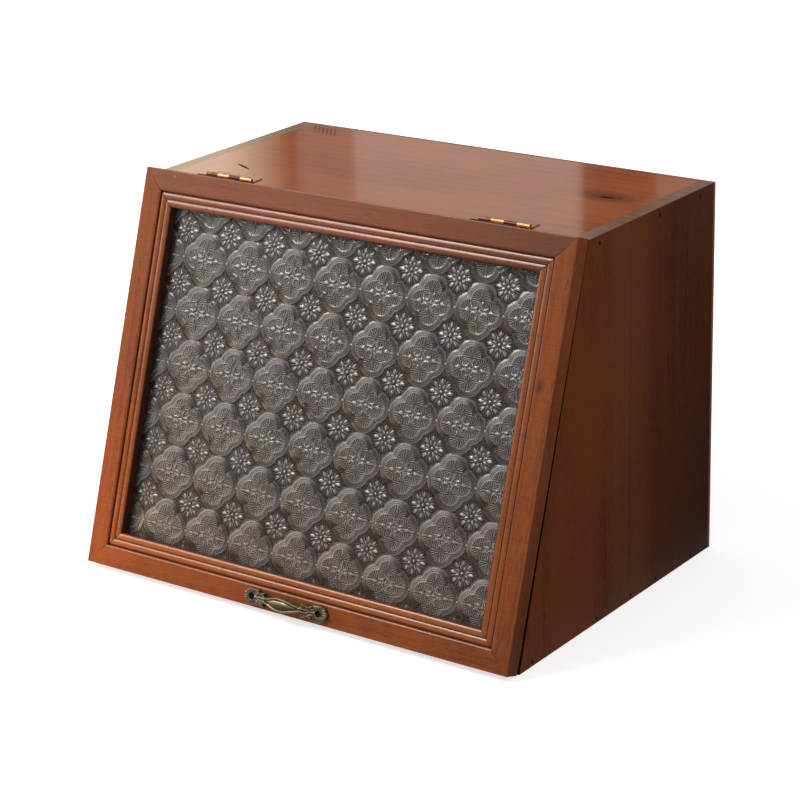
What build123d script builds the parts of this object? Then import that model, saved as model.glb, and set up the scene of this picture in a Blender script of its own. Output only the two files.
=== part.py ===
from build123d import *
import os
from math import atan2, ceil, cos, degrees, hypot, sin

os.makedirs("parts", exist_ok=True)

# A countertop bin in stained wood with a sloping front. The front is a glazed door
# that hangs from two butt hinges on the top board and lifts upwards.
# Frame: +X to the viewer's right, +Y to the back, +Z up, origin in the middle of the base.

# ---- Driving dimensions, millimetres ----------------------------------------------------
CASE_WIDTH = 400.0         # over both side panels
CASE_HEIGHT = 306.0
CASE_DEPTH = 285.0         # at the base, back panel included
TOP_SETBACK = 97.5         # how far the sloping front leans back at the top
BOARD = 12.0               # side panels and top board
BOTTOM_BOARD = 8.0
BACK_BOARD = 3.0
ARRIS = 0.5                # softened outer edges of the boards

DOOR_WIDTH = 404.0
DOOR_HEIGHT = 322.0        # along the slope
DOOR_THICK = 15.0
DOOR_SHIFT_X = -2.0        # flush with the case on the right, 4 mm proud on the left
DOOR_PROUD_TOP = 0.6       # door's top edge above the top board's edge, along the slope
DOOR_GAP_TOP = 0.5         # between door and case, square to the slope
DOOR_GAP_BOTTOM = 3.4      # the door rests on two bumper pads there
MEMBER_WIDTH = 29.0        # sight width of the four mitred door members
BAND_WIDTH = 17.0          # their flat outer band
REBATE_WIDTH = 6.0
REBATE_DEPTH = 6.0         # from the door's back face to the front of the glass

GLASS_THICK = 3.0
GLASS_PLAY = 0.5           # round the pane, in its rebate
FIGURE_SUNK = 0.6          # the glass between its figures lies this far below its face
FIGURE_PITCH = (43.35, 42.7)  # from medallion to medallion, across and up the door
FIRST_FIGURE = (65.2, 65.9)  # a medallion's middle from the door's left and top edges
STOP_WIDTH = 5.3
STOP_THICK = 2.7

HINGE_LENGTH = 45.0
HINGE_CENTRES_X = {"left": -133.0, "right": 126.0}
HINGE_REACH = 13.3         # from the pin's axis to the leaf's free edge
HINGE_AXIS_HEIGHT = 2.0    # above the wood that each leaf lies on
LEAF_THICK = 0.9
KNUCKLE_RADIUS = 1.7
KNUCKLE_COUNT = 4          # case leaf, door leaf, case leaf, door leaf
KNUCKLE_GAP = 0.2
PIN_RADIUS = 0.8
PIN_PLAY = 0.05            # radial clearance of the pin in its knuckles
DOOR_OPEN_ANGLE = 165.0    # leans a little back past upright, so it stays open

HANDLE_LENGTH = 80.0
HANDLE_HOLE_SPACING = 64.0
HANDLE_UP_FROM_EDGE = 8.5  # handle's centre line above the door's bottom edge
HANDLE_CREST = 11.0        # top of the bow above the door
HANDLE_CLEARANCE = 7.0     # under the bow

BUMPER_RADIUS = 4.5
BUMPER_UP_SLOPE = 20.0

# ---- Sloping front and door plane -------------------------------------------------------
Y_FRONT = -CASE_DEPTH / 2
Y_BACK = CASE_DEPTH / 2
Y_BACK_BOARD = Y_BACK - BACK_BOARD
Y_TOP_FRONT = Y_FRONT + TOP_SETBACK
SLOPE_LENGTH = hypot(TOP_SETBACK, CASE_HEIGHT)
SLOPE = atan2(TOP_SETBACK, CASE_HEIGHT)
DOOR_LEAN = SLOPE + atan2(DOOR_GAP_BOTTOM - DOOR_GAP_TOP, SLOPE_LENGTH)


def up_slope(angle):
    return Vector(0, sin(angle), cos(angle))


def out_of_slope(angle):
    return Vector(0, -cos(angle), sin(angle))


slope_foot = Vector(0, Y_FRONT, 0)
slope_head = Vector(0, Y_TOP_FRONT, CASE_HEIGHT)
slope_plane = Plane(origin=slope_foot, x_dir=(1, 0, 0), z_dir=out_of_slope(SLOPE))

door_head = slope_head + out_of_slope(SLOPE) * DOOR_GAP_TOP + up_slope(DOOR_LEAN) * DOOR_PROUD_TOP
door_foot = door_head - up_slope(DOOR_LEAN) * DOOR_HEIGHT + Vector(DOOR_SHIFT_X, 0, 0)
# Door frame: x across, y up the door, z out of its front; zero on its back face.
door_plane = Plane(origin=door_foot, x_dir=(1, 0, 0), z_dir=out_of_slope(DOOR_LEAN))

# The pin's axis stands at one height over both woods: the top board and the door's top edge.
axis_z = CASE_HEIGHT + HINGE_AXIS_HEIGHT
axis_y = door_head.Y + (HINGE_AXIS_HEIGHT - (axis_z - door_head.Z) * cos(DOOR_LEAN)) / sin(DOOR_LEAN)

parts = {}


def box_between(low, high):
    size = [high[i] - low[i] for i in range(3)]
    return Pos(*low) * Box(*size, align=(Align.MIN, Align.MIN, Align.MIN))


def peg(radius, length):
    """A round peg whose outer end is at z = 0 and which runs down -Z."""
    return Cylinder(radius, length, align=(Align.CENTER, Align.CENTER, Align.MAX))


def cone_between(z_low, r_low, z_high, r_high):
    cone = Cone(r_low, r_high, z_high - z_low, align=(Align.CENTER, Align.CENTER, Align.MIN))
    return Pos(0, 0, z_low) * cone


# ---- Brads: thin nails driven in and set just under the surface ------------------------
BRAD_SHANK = 0.6
BRAD_HEAD = 0.9
BRAD_HEAD_THICK = 0.6
BRAD_SET = 0.5
BRAD_RECESS = 1.0


def brad(length):
    """Stands along +Z with the wood's surface at z = 0."""
    head = Pos(0, 0, -BRAD_SET) * peg(BRAD_HEAD, BRAD_HEAD_THICK)
    return head + Pos(0, 0, -BRAD_SET) * peg(BRAD_SHANK, length)


def driven(places, length):
    """The brads, as one group, and the recesses that their heads leave."""
    nails = Compound(children=[place * brad(length) for place in places])
    recesses = [place * peg(BRAD_RECESS, BRAD_SET) for place in places]
    return nails, recesses


# ---- Case boards ------------------------------------------------------------------------
CASE_BRAD = 24.0
TOP_BRADS_Y = [-30.5, 56.5, 118.5]
BOTTOM_BRADS_Y = [-125.0, -34.5, 17.0, 55.0, 111.5]

side_outline = Polyline(
    (Y_FRONT, 0), (Y_BACK_BOARD, 0), (Y_BACK_BOARD, CASE_HEIGHT), (Y_TOP_FRONT, CASE_HEIGHT), close=True
)
HALF_WIDTH = CASE_WIDTH / 2
INNER_HALF = HALF_WIDTH - BOARD


def side_panel(sign):
    """Cut to the slope from one glued-up board; its grain runs upright."""
    face = make_face(Plane.YZ * side_outline)
    slab = Pos(min(sign * HALF_WIDTH, sign * INNER_HALF), 0, 0) * extrude(face, BOARD)
    outer = slab.edges().filter_by_position(Axis.X, sign * HALF_WIDTH - 0.01, sign * HALF_WIDTH + 0.01)
    return fillet(outer, ARRIS)


def side_brad_places(sign):
    turn = (0, 90 * sign, 0)
    top = [Location((sign * HALF_WIDTH, y, CASE_HEIGHT - BOARD / 2), turn) for y in TOP_BRADS_Y]
    bottom = [Location((sign * HALF_WIDTH, y, BOTTOM_BOARD / 2), turn) for y in BOTTOM_BRADS_Y]
    return top + bottom


for side, sign in (("left", -1), ("right", 1)):
    nails, recesses = driven(side_brad_places(sign), CASE_BRAD)
    parts[f"side_panel_{side}"] = side_panel(sign) - recesses
    parts[f"case_nails_{side}"] = nails


def slope_y(z):
    """Y of the sloping front at height z."""
    return Y_FRONT + TOP_SETBACK * z / CASE_HEIGHT


def cross_board(z_low, z_high):
    """A board between the side panels, its front edge planed to the slope."""
    outline = Polyline(
        (slope_y(z_low), z_low), (Y_BACK_BOARD, z_low), (Y_BACK_BOARD, z_high), (slope_y(z_high), z_high),
        close=True,
    )
    return Pos(-INNER_HALF, 0, 0) * extrude(make_face(Plane.YZ * outline), 2 * INNER_HALF)


parts["top_panel"] = cross_board(CASE_HEIGHT - BOARD, CASE_HEIGHT)
parts["bottom_panel"] = cross_board(0, BOTTOM_BOARD)

# ---- Back panel, pinned over the back edges ---------------------------------------------
BACK_BRAD = 14.0
BACK_BRADS_X = [-135.0, -45.0, 45.0, 135.0]
BACK_BRADS_Z = [24.0, 110.0, 196.0, 282.0]


def back_brad_places():
    spots = [(x, z) for x in BACK_BRADS_X for z in (BOTTOM_BOARD / 2, CASE_HEIGHT - BOARD / 2)]
    spots += [(x, z) for x in (-HALF_WIDTH + BOARD / 2, HALF_WIDTH - BOARD / 2) for z in BACK_BRADS_Z]
    return [Location((x, Y_BACK, z), (-90, 0, 0)) for x, z in spots]


back_nails, back_recesses = driven(back_brad_places(), BACK_BRAD)
back_sheet = box_between((-HALF_WIDTH, Y_BACK_BOARD, 0), (HALF_WIDTH, Y_BACK, CASE_HEIGHT))
parts["back_panel"] = back_sheet - back_recesses
parts["back_panel_nails"] = back_nails

# ---- Bumper pads at the foot of the slope -----------------------------------------------
bumper_top_edge = BUMPER_UP_SLOPE + BUMPER_RADIUS
gap_there = DOOR_GAP_BOTTOM - (DOOR_GAP_BOTTOM - DOOR_GAP_TOP) * bumper_top_edge / SLOPE_LENGTH
BUMPER_THICK = gap_there - 0.1
for side, sign in (("left", -1), ("right", 1)):
    pad = Cylinder(BUMPER_RADIUS, BUMPER_THICK, align=(Align.CENTER, Align.CENTER, Align.MIN))
    pad = fillet(pad.edges().group_by(Axis.Z)[-1], ARRIS)
    spot = Location((sign * (HALF_WIDTH - BOARD / 2), BUMPER_UP_SLOPE, 0))
    parts[f"door_bumper_{side}"] = slope_plane.location * spot * pad

# ---- Door frame: four mitred members with two beads round the glass --------------------
STEP_DEPTH = 2.6           # from the flat band down to the beads' quirks
QUIRK = 0.8
BEAD_HEIGHT = 1.7
LIP_DROP = 0.5             # the second bead's round stops this far short of the sight edge

quirk_level = DOOR_THICK - STEP_DEPTH
bead_start = BAND_WIDTH + QUIRK
bead_end = MEMBER_WIDTH - LIP_DROP
bead_middle = (bead_start + bead_end) / 2


def bead(start, end):
    top = ((start + end) / 2, quirk_level + BEAD_HEIGHT)
    return ThreePointArc((start, quirk_level), top, (end, quirk_level))


def member_profile():
    """Section across a member: x inwards from its outer edge, y out of the door."""
    rebate_x = MEMBER_WIDTH - REBATE_WIDTH
    outer = Polyline(
        (bead_start, quirk_level), (BAND_WIDTH, quirk_level), (BAND_WIDTH, DOOR_THICK), (0, DOOR_THICK),
        (0, 0), (rebate_x, 0), (rebate_x, REBATE_DEPTH), (MEMBER_WIDTH, REBATE_DEPTH),
        (MEMBER_WIDTH, quirk_level), (bead_end, quirk_level),
    )
    return make_face(outer + bead(bead_start, bead_middle) + bead(bead_middle, bead_end))


def door_member(length):
    """Lies along X with its outer edge on y = 0 and its back on z = 0."""
    section = Plane(origin=(-length / 2, 0, 0), x_dir=(0, 1, 0), z_dir=(1, 0, 0)) * member_profile()
    moulding = extrude(section, length)
    plan = Polyline(
        (-length / 2, 0), (length / 2, 0),
        (length / 2 - MEMBER_WIDTH, MEMBER_WIDTH), (-length / 2 + MEMBER_WIDTH, MEMBER_WIDTH), close=True,
    )
    return moulding & extrude(make_face(plan), DOOR_THICK)


def on_door(x, y, z=0.0, turn=0.0):
    return door_plane.location * Location((x, y, z), (0, 0, turn))


DOOR_BRAD = 24.0
BRAD_FROM_SIDE = 9.0
BRAD_FROM_BACK = 7.0


def door_brad_places(y, tilt):
    spots = [sign * (DOOR_WIDTH / 2 - BRAD_FROM_SIDE) for sign in (-1, 1)]
    return [on_door(x, y, BRAD_FROM_BACK) * Location((0, 0, 0), (tilt, 0, 0)) for x in spots]


top_nails, top_recesses = driven(door_brad_places(DOOR_HEIGHT, -90), DOOR_BRAD)
bottom_nails, bottom_recesses = driven(door_brad_places(0, 90), DOOR_BRAD)
top_rail = on_door(0, DOOR_HEIGHT, turn=180) * door_member(DOOR_WIDTH)
bottom_rail = on_door(0, 0) * door_member(DOOR_WIDTH)
parts["door_rail_top"] = top_rail - top_recesses
parts["door_rail_bottom"] = bottom_rail - bottom_recesses
parts["door_stile_left"] = on_door(-DOOR_WIDTH / 2, DOOR_HEIGHT / 2, turn=-90) * door_member(DOOR_HEIGHT)
parts["door_stile_right"] = on_door(DOOR_WIDTH / 2, DOOR_HEIGHT / 2, turn=90) * door_member(DOOR_HEIGHT)
parts["door_corner_brads"] = Compound(children=[top_nails, bottom_nails])

# ---- Glass and the stops that hold it ---------------------------------------------------
POCKET_WIDTH = DOOR_WIDTH - 2 * (MEMBER_WIDTH - REBATE_WIDTH)
POCKET_HEIGHT = DOOR_HEIGHT - 2 * (MEMBER_WIDTH - REBATE_WIDTH)
GLASS_BACK = REBATE_DEPTH - GLASS_THICK
STOP_PLAY = 0.1            # between stop, rebate and glass

# The rolled figure: a quatrefoil medallion with a rim round a lower field, and a daisy,
# kept to its low round mound, halfway between every four.
LOBE_OUT = 9.0             # from a medallion's middle to the middle of each lobe
LOBE_RADIUS = 12.2
RIM_WIDTH = 3.8
FIELD_RISE = 0.2
DAISY_RADIUS = 9.5
DAISY_RISE = 0.3


def quatrefoil(radius):
    outline = Circle(LOBE_OUT / 2)
    for x, y in ((LOBE_OUT, 0), (0, LOBE_OUT), (-LOBE_OUT, 0), (0, -LOBE_OUT)):
        outline += Pos(x, y) * Circle(radius)
    return outline


def raised(outline, rise):
    return Pos(0, 0, REBATE_DEPTH - FIGURE_SUNK) * extrude(outline, rise)


def figured_pane():
    """Lies in the door's own frame, its middle on the door's."""
    width = POCKET_WIDTH - 2 * GLASS_PLAY
    height = POCKET_HEIGHT - 2 * GLASS_PLAY
    pane = Pos(0, 0, GLASS_BACK) * Box(
        width, height, GLASS_THICK - FIGURE_SUNK, align=(Align.CENTER, Align.CENTER, Align.MIN)
    )
    medallion = raised(quatrefoil(LOBE_RADIUS) - quatrefoil(LOBE_RADIUS - RIM_WIDTH), FIGURE_SUNK)
    medallion += raised(quatrefoil(LOBE_RADIUS - RIM_WIDTH), FIELD_RISE)
    daisy = raised(Circle(DAISY_RADIUS), DAISY_RISE)
    across, up = FIGURE_PITCH
    left = FIRST_FIGURE[0] - DOOR_WIDTH / 2 - across
    top = DOOR_HEIGHT / 2 - FIRST_FIGURE[1] + up
    columns = ceil((width / 2 - left) / across) + 1
    rows = ceil((height / 2 + top) / up) + 1
    figures = []
    for i in range(columns):
        for j in range(rows):
            x, y = left + i * across, top - j * up
            figures += [Pos(x, y) * medallion, Pos(x + across / 2, y - up / 2) * daisy]
    edge = Box(width, height, 2 * GLASS_THICK, align=(Align.CENTER, Align.CENTER, Align.MIN))
    kept = []
    for figure in figures:
        box = figure.bounding_box()
        farthest_x = max(abs(box.min.X), abs(box.max.X))
        farthest_y = max(abs(box.min.Y), abs(box.max.Y))
        inside = farthest_x < width / 2 and farthest_y < height / 2
        cut = figure if inside else figure & edge
        kept += cut.solids() if cut else []
    return pane + kept


parts["door_glass"] = on_door(0, DOOR_HEIGHT / 2) * figured_pane()


def glass_stop(length):
    """A strip along X whose outer edge is at y = 0, in the rebate behind the glass."""
    strip = Box(length, STOP_WIDTH, STOP_THICK, align=(Align.CENTER, Align.MIN, Align.MAX))
    return Pos(0, STOP_PLAY, GLASS_BACK - STOP_PLAY) * strip


pocket_left = -POCKET_WIDTH / 2
pocket_low = MEMBER_WIDTH - REBATE_WIDTH
long_stop = POCKET_WIDTH - 2 * STOP_PLAY
short_stop = POCKET_HEIGHT - 2 * (STOP_WIDTH + 2 * STOP_PLAY)
stop_places = {
    "bottom": (on_door(0, pocket_low), long_stop),
    "top": (on_door(0, pocket_low + POCKET_HEIGHT, turn=180), long_stop),
    "left": (on_door(pocket_left, DOOR_HEIGHT / 2, turn=-90), short_stop),
    "right": (on_door(-pocket_left, DOOR_HEIGHT / 2, turn=90), short_stop),
}
STOP_PIN_RADIUS = 0.5
STOP_PIN_LENGTH = 11.0
STOP_PIN_PROUD = 0.4
STOP_PIN_SPACING = 110.0

pins = []
for side, (place, length) in stop_places.items():
    parts[f"glass_stop_{side}"] = place * glass_stop(length)
    count = ceil(length / STOP_PIN_SPACING)
    for i in range(count):
        x = length * ((i + 0.5) / count - 0.5)
        inner_edge = STOP_PLAY + STOP_WIDTH + STOP_PIN_PROUD
        middle = GLASS_BACK - STOP_PLAY - STOP_THICK / 2
        across_stop = Location((x, inner_edge, middle), (-90, 0, 0))
        pins.append(place * across_stop * peg(STOP_PIN_RADIUS, STOP_PIN_LENGTH))
parts["glass_stop_pins"] = Compound(children=pins)

# ---- Butt hinges ------------------------------------------------------------------------
SCREWS_FROM_CENTRE = 13.0
SCREW_FROM_AXIS = 7.6
HINGE_SCREW_HEAD = 2.1
HINGE_SCREW_SHANK = 0.9
HINGE_SCREW_LENGTH = 9.0
SCREW_PLAY = 0.1
SLOT_WIDTH = 0.6
SLOT_DEPTH = 0.35
KNUCKLE_CLEARANCE = 0.4


def hinge_leaf(first_knuckle):
    """Half a hinge: pin axis on X, plate towards +Y, seat at z = -HINGE_AXIS_HEIGHT.

    first_knuckle is 0 or 1: the leaf carries that knuckle and every second one after it.
    """
    pitch = HINGE_LENGTH / KNUCKLE_COUNT
    seat = -HINGE_AXIS_HEIGHT
    clear_of_barrel = KNUCKLE_RADIUS + KNUCKLE_CLEARANCE
    leaf = box_between(
        (-HINGE_LENGTH / 2, clear_of_barrel, seat), (HINGE_LENGTH / 2, HINGE_REACH, seat + LEAF_THICK)
    )
    leaf = fillet(leaf.edges().filter_by(Axis.Z).group_by(Axis.Y)[-1], 1.0)
    for i in range(first_knuckle, KNUCKLE_COUNT, 2):
        start = -HINGE_LENGTH / 2 + i * pitch + KNUCKLE_GAP / 2
        end = start + pitch - KNUCKLE_GAP
        barrel = Pos((start + end) / 2, 0, 0) * Rot(0, 90, 0) * Cylinder(KNUCKLE_RADIUS, end - start)
        root = box_between((start, 0, seat), (end, clear_of_barrel, seat + LEAF_THICK))
        leaf = leaf + root + barrel
    leaf = leaf - Rot(0, 90, 0) * Cylinder(PIN_RADIUS + PIN_PLAY, HINGE_LENGTH + 1)
    for place in hinge_screw_spots():
        hole = peg(HINGE_SCREW_SHANK + SCREW_PLAY, LEAF_THICK)
        sink = cone_between(-LEAF_THICK, HINGE_SCREW_SHANK + SCREW_PLAY, 0, HINGE_SCREW_HEAD + SCREW_PLAY)
        leaf = leaf - place * hole - place * sink
    return leaf


def hinge_screw_spots():
    top = LEAF_THICK - HINGE_AXIS_HEIGHT
    return [Pos(sign * SCREWS_FROM_CENTRE, SCREW_FROM_AXIS, top) for sign in (-1, 1)]


def countersunk_screw(head, shank, cone, length):
    """Head's flat top at z = 0, slotted, shank down -Z."""
    screw = cone_between(-cone, shank, 0, head) + peg(shank, length)
    return screw - Pos(0, 0, -SLOT_DEPTH) * Box(
        2 * head + 1, SLOT_WIDTH, 2 * SLOT_DEPTH, align=(Align.CENTER, Align.CENTER, Align.MIN)
    )


def hinge_screws():
    turn = Rot(0, 0, 35)
    screw = countersunk_screw(HINGE_SCREW_HEAD, HINGE_SCREW_SHANK, LEAF_THICK, HINGE_SCREW_LENGTH)
    return [place * turn * screw for place in hinge_screw_spots()]


case_screws = []
door_screws = []
for side, x in HINGE_CENTRES_X.items():
    case_side = Location((x, axis_y, axis_z))
    # The door's half faces the other way and lies on the door's sloping top edge.
    door_side = case_side * Rot(-degrees(DOOR_LEAN), 0, 0) * Rot(0, 0, 180)
    parts[f"hinge_leaf_case_{side}"] = case_side * hinge_leaf(0)
    # Turned end for end, its first knuckle is the last one along X.
    parts[f"hinge_leaf_door_{side}"] = door_side * hinge_leaf(0)
    pin = Rot(0, 90, 0) * Cylinder(PIN_RADIUS, HINGE_LENGTH)
    parts[f"hinge_pin_{side}"] = case_side * pin
    case_screws += [case_side * screw for screw in hinge_screws()]
    door_screws += [door_side * screw for screw in hinge_screws()]
parts["hinge_screws_case"] = Compound(children=case_screws)
parts["hinge_screws_door"] = Compound(children=door_screws)

# ---- Bow handle with a shell rosette at each end ----------------------------------------
HANDLE_PAD_THICK = 3.0
ROSETTE_HALF_WIDTH = 6.9
ROSETTE_HALF_LENGTH = 8.0
BOW_FOOT_OUTER = 29.0      # where the bow's upper curve runs out on the rosette
BOW_FOOT_INNER = 23.0      # where its underside leaves the door
BOW_HALF_WIDTHS = [(0, 5.5), (8, 4.7), (15.5, 2.9), (20.5, 4.6), (24, 5.0), (27.5, 4.4)]
PANEL_LENGTH = 11.0
PANEL_WIDTH = 3.3
PANEL_RISE = 0.5
HANDLE_SCREW_HEAD = 2.6
HANDLE_SCREW_SHANK = 1.25
HANDLE_SCREW_CONE = 1.4
HANDLE_SCREW_LENGTH = 13.0
HANDLE_SCREW_SET = 0.5


def bow_plan():
    """Outline of the bow seen from the front: a bulge, two waists and two leafy feet."""
    right = [(x, y) for x, y in BOW_HALF_WIDTHS]
    upper = [(-x, y) for x, y in reversed(right[1:])] + right
    lower = [(x, -y) for x, y in upper]
    ends = [Line(upper[0], lower[0]), Line(upper[-1], lower[-1])]
    return make_face(Spline(*upper) + Spline(*lower) + ends)


def bow_side(rise):
    """Side view of the bow, an arched band, with its top raised by rise."""
    top = ThreePointArc(
        (-BOW_FOOT_OUTER, HANDLE_PAD_THICK + rise), (0, HANDLE_CREST - PANEL_RISE + rise),
        (BOW_FOOT_OUTER, HANDLE_PAD_THICK + rise),
    )
    under = ThreePointArc((-BOW_FOOT_INNER, 0), (0, HANDLE_CLEARANCE), (BOW_FOOT_INNER, 0))
    left = Polyline((-BOW_FOOT_OUTER, HANDLE_PAD_THICK + rise), (-BOW_FOOT_OUTER, 0), (-BOW_FOOT_INNER, 0))
    right = Polyline((BOW_FOOT_OUTER, HANDLE_PAD_THICK + rise), (BOW_FOOT_OUTER, 0), (BOW_FOOT_INNER, 0))
    return make_face(top + left + under + right)


def arched(plan, rise):
    band = extrude(Plane.XZ * bow_side(rise), ROSETTE_HALF_WIDTH, both=True)
    return extrude(plan, HANDLE_CREST + 1) & band


def pull_handle():
    """Lies along X on the door's front face, z = 0."""
    body = arched(bow_plan(), 0) + arched(make_face(Ellipse(PANEL_LENGTH, PANEL_WIDTH).edges()), PANEL_RISE)
    for sign in (-1, 1):
        pad = extrude(Ellipse(ROSETTE_HALF_LENGTH, ROSETTE_HALF_WIDTH), HANDLE_PAD_THICK)
        pad = fillet(pad.edges().group_by(Axis.Z)[-1], 1.2)
        body = body + Pos(sign * HANDLE_HOLE_SPACING / 2, 0, 0) * pad
    for sign in (-1, 1):
        seat = Pos(sign * HANDLE_HOLE_SPACING / 2, 0, HANDLE_PAD_THICK - HANDLE_SCREW_SET)
        body = body - seat * peg(HANDLE_SCREW_SHANK + SCREW_PLAY, HANDLE_PAD_THICK)
        body = body - seat * cone_between(
            -HANDLE_SCREW_CONE, HANDLE_SCREW_SHANK + SCREW_PLAY, 0, HANDLE_SCREW_HEAD + SCREW_PLAY
        )
        body = body - seat * extrude(Circle(HANDLE_SCREW_HEAD + SCREW_PLAY), HANDLE_CREST)
    return body


handle_place = on_door(0, HANDLE_UP_FROM_EDGE, DOOR_THICK)
parts["pull_handle"] = handle_place * pull_handle()
parts["handle_screws"] = Compound(children=[
    handle_place * Pos(sign * HANDLE_HOLE_SPACING / 2, 0, HANDLE_PAD_THICK - HANDLE_SCREW_SET)
    * Rot(0, 0, 20 * sign)
    * countersunk_screw(HANDLE_SCREW_HEAD, HANDLE_SCREW_SHANK, HANDLE_SCREW_CONE, HANDLE_SCREW_LENGTH)
    for sign in (-1, 1)
])

for name, shape in parts.items():
    export_step(shape, f"parts/{name}.step")

print(f"hinge axis y {axis_y:.3f} z {axis_z:.3f}, door lean {degrees(DOOR_LEAN):.3f} deg, "
      f"door foot z {door_foot.Z:.3f}, opens {DOOR_OPEN_ANGLE:.0f} deg, slope {degrees(SLOPE):.3f} deg")
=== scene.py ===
from math import atan2, cos, hypot, pi, radians, sin, sqrt

import bmesh
import bpy
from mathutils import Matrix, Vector
from mathutils.geometry import delaunay_2d_cdt
from mathutils.kdtree import KDTree


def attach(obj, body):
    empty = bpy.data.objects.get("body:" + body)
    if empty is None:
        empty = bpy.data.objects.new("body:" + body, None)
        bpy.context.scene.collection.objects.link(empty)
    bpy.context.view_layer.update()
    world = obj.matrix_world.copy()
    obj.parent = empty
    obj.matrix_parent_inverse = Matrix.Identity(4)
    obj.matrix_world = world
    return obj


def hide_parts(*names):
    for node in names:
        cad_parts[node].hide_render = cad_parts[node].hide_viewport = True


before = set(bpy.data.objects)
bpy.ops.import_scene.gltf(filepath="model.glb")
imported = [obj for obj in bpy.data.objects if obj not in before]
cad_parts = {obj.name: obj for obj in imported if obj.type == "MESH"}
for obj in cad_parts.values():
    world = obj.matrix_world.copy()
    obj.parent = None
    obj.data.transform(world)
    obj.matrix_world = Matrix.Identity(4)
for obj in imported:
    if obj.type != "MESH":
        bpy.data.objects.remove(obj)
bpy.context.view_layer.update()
scene = bpy.context.scene
scene.view_settings.view_transform = "Standard"

# ---- Studio: floor, lamps, cards and camera ----------------------------------------------
# A pale floor in soft light, with the key lamp in front of the object to its left, and a
# low warm lamp beside it. Cards behind and in front give the varnish its reflections.


def lamp(name, place, aim, size, watts, colour=(1, 1, 1)):
    data = bpy.data.lights.new(name, "AREA")
    data.shape = "RECTANGLE"
    data.size, data.size_y = size
    data.energy = watts
    data.color = colour
    obj = bpy.data.objects.new(name, data)
    obj.location = place
    obj.rotation_euler = (Vector(aim) - Vector(place)).to_track_quat("-Z", "Y").to_euler()
    scene.collection.objects.link(obj)
    return obj


OBJECT_MIDDLE = (0, 0, 0.12)
DOOR_CORNER = (-0.2, -0.16, 0.02)  # the door's bottom left, which the low lamp warms

lamp("key_lamp", (-1.35, -1.35, 2.2), OBJECT_MIDDLE, (1.1, 1.1), 36)
lamp("fill_lamp", (1.9, -1.3, 1.1), OBJECT_MIDDLE, (1.2, 1.2), 4)
low_lamp = lamp("low_lamp", (-0.37, -0.3, 0.03), DOOR_CORNER, (0.1, 0.1), 0.7, (1, 0.66, 0.33))
low_lamp.visible_camera = False
low_lamp.visible_glossy = False


def fill(tree, made, values):
    """Fills a node's inputs, each from a socket or with a plain value."""
    for key, value in values.items():
        if isinstance(value, bpy.types.NodeSocket):
            tree.links.new(value, made.inputs[key])
        else:
            made.inputs[key].default_value = value


def node(tree, kind, values=None, **settings):
    """Adds a node with its settings, and fills its inputs."""
    made = tree.nodes.new(kind)
    for name, value in settings.items():
        setattr(made, name, value)
    fill(tree, made, values or {})
    return made


def maths(tree, operation, first, second=0.0, clamp=False):
    made = node(tree, "ShaderNodeMath", {0: first, 1: second}, operation=operation, use_clamp=clamp)
    return made.outputs[0]


def times(tree, first, second, clamp=False):
    return maths(tree, "MULTIPLY", first, second, clamp)


def ramp(tree, value, low, high, to_low=0.0, to_high=1.0):
    """Turns low..high into to_low..to_high, and stays at those two outside it."""
    made = node(tree, "ShaderNodeMapRange", {"Value": value, "From Min": low, "From Max": high,
                                             "To Min": to_low, "To Max": to_high})
    return made.outputs["Result"]


def length_of(tree, vector):
    return node(tree, "ShaderNodeVectorMath", {0: vector}, operation="LENGTH").outputs["Value"]


def object_place(tree):
    """The place on the object, in metres."""
    return node(tree, "ShaderNodeTexCoord").outputs["Object"]


def material(name, values=None):
    """A new material, with its shader's inputs filled."""
    made = bpy.data.materials.new(name)
    made.use_nodes = True
    shader = made.node_tree.nodes["Principled BSDF"]
    fill(made.node_tree, shader, values or {})
    return made, made.node_tree, shader


def seen_rays(tree):
    """1 for rays from the camera, off gloss and through glass; 0 for the light on things."""
    path = node(tree, "ShaderNodeLightPath").outputs
    camera_or_gloss = maths(tree, "MAXIMUM", path["Is Camera Ray"], path["Is Glossy Ray"])
    return maths(tree, "MAXIMUM", camera_or_gloss, path["Is Transmission Ray"])


def flat_sheet(name, corners, made):
    mesh = bpy.data.meshes.new(name)
    mesh.from_pydata(corners, [], [tuple(range(len(corners)))])
    mesh.materials.append(made)
    obj = bpy.data.objects.new(name, mesh)
    scene.collection.objects.link(obj)
    return obj


FLOOR_HALF = 6.0
FLOOR_GLOW = 0.66         # lifts the floor to white without lighting the object
FAR_FLOOR_GLOW = FLOOR_GLOW + 0.3
GLOW_RISES = (0.5, 2.5)   # distances from the object between which the glow grows

floor_paint, tree, shader = material("floor_paint", {
    "Base Color": (0.86, 0.86, 0.86, 1), "Roughness": 0.9, "Specular IOR Level": 0.0,
    "Emission Color": (1, 1, 1, 1)})
glow = ramp(tree, length_of(tree, object_place(tree)), *GLOW_RISES, FLOOR_GLOW, FAR_FLOOR_GLOW)
fill(tree, shader, {"Emission Strength": times(tree, seen_rays(tree), glow)})
flat_sheet("studio_floor", [(-FLOOR_HALF, -FLOOR_HALF, 0), (FLOOR_HALF, -FLOOR_HALF, 0),
                            (FLOOR_HALF, FLOOR_HALF, 0), (-FLOOR_HALF, FLOOR_HALF, 0)], floor_paint)


def glowing_paint(name, colour, strength):
    """A black paint without gloss that only shines."""
    return material(name, {"Base Color": (0, 0, 0, 1), "Specular IOR Level": 0.0,
                           "Emission Color": (*colour, 1), "Emission Strength": strength})


def only_reflected(sheet):
    """Hides a sheet from all rays but those off gloss."""
    for ray in ("camera", "diffuse", "transmission", "volume_scatter", "shadow"):
        setattr(sheet, f"visible_{ray}", False)


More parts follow.
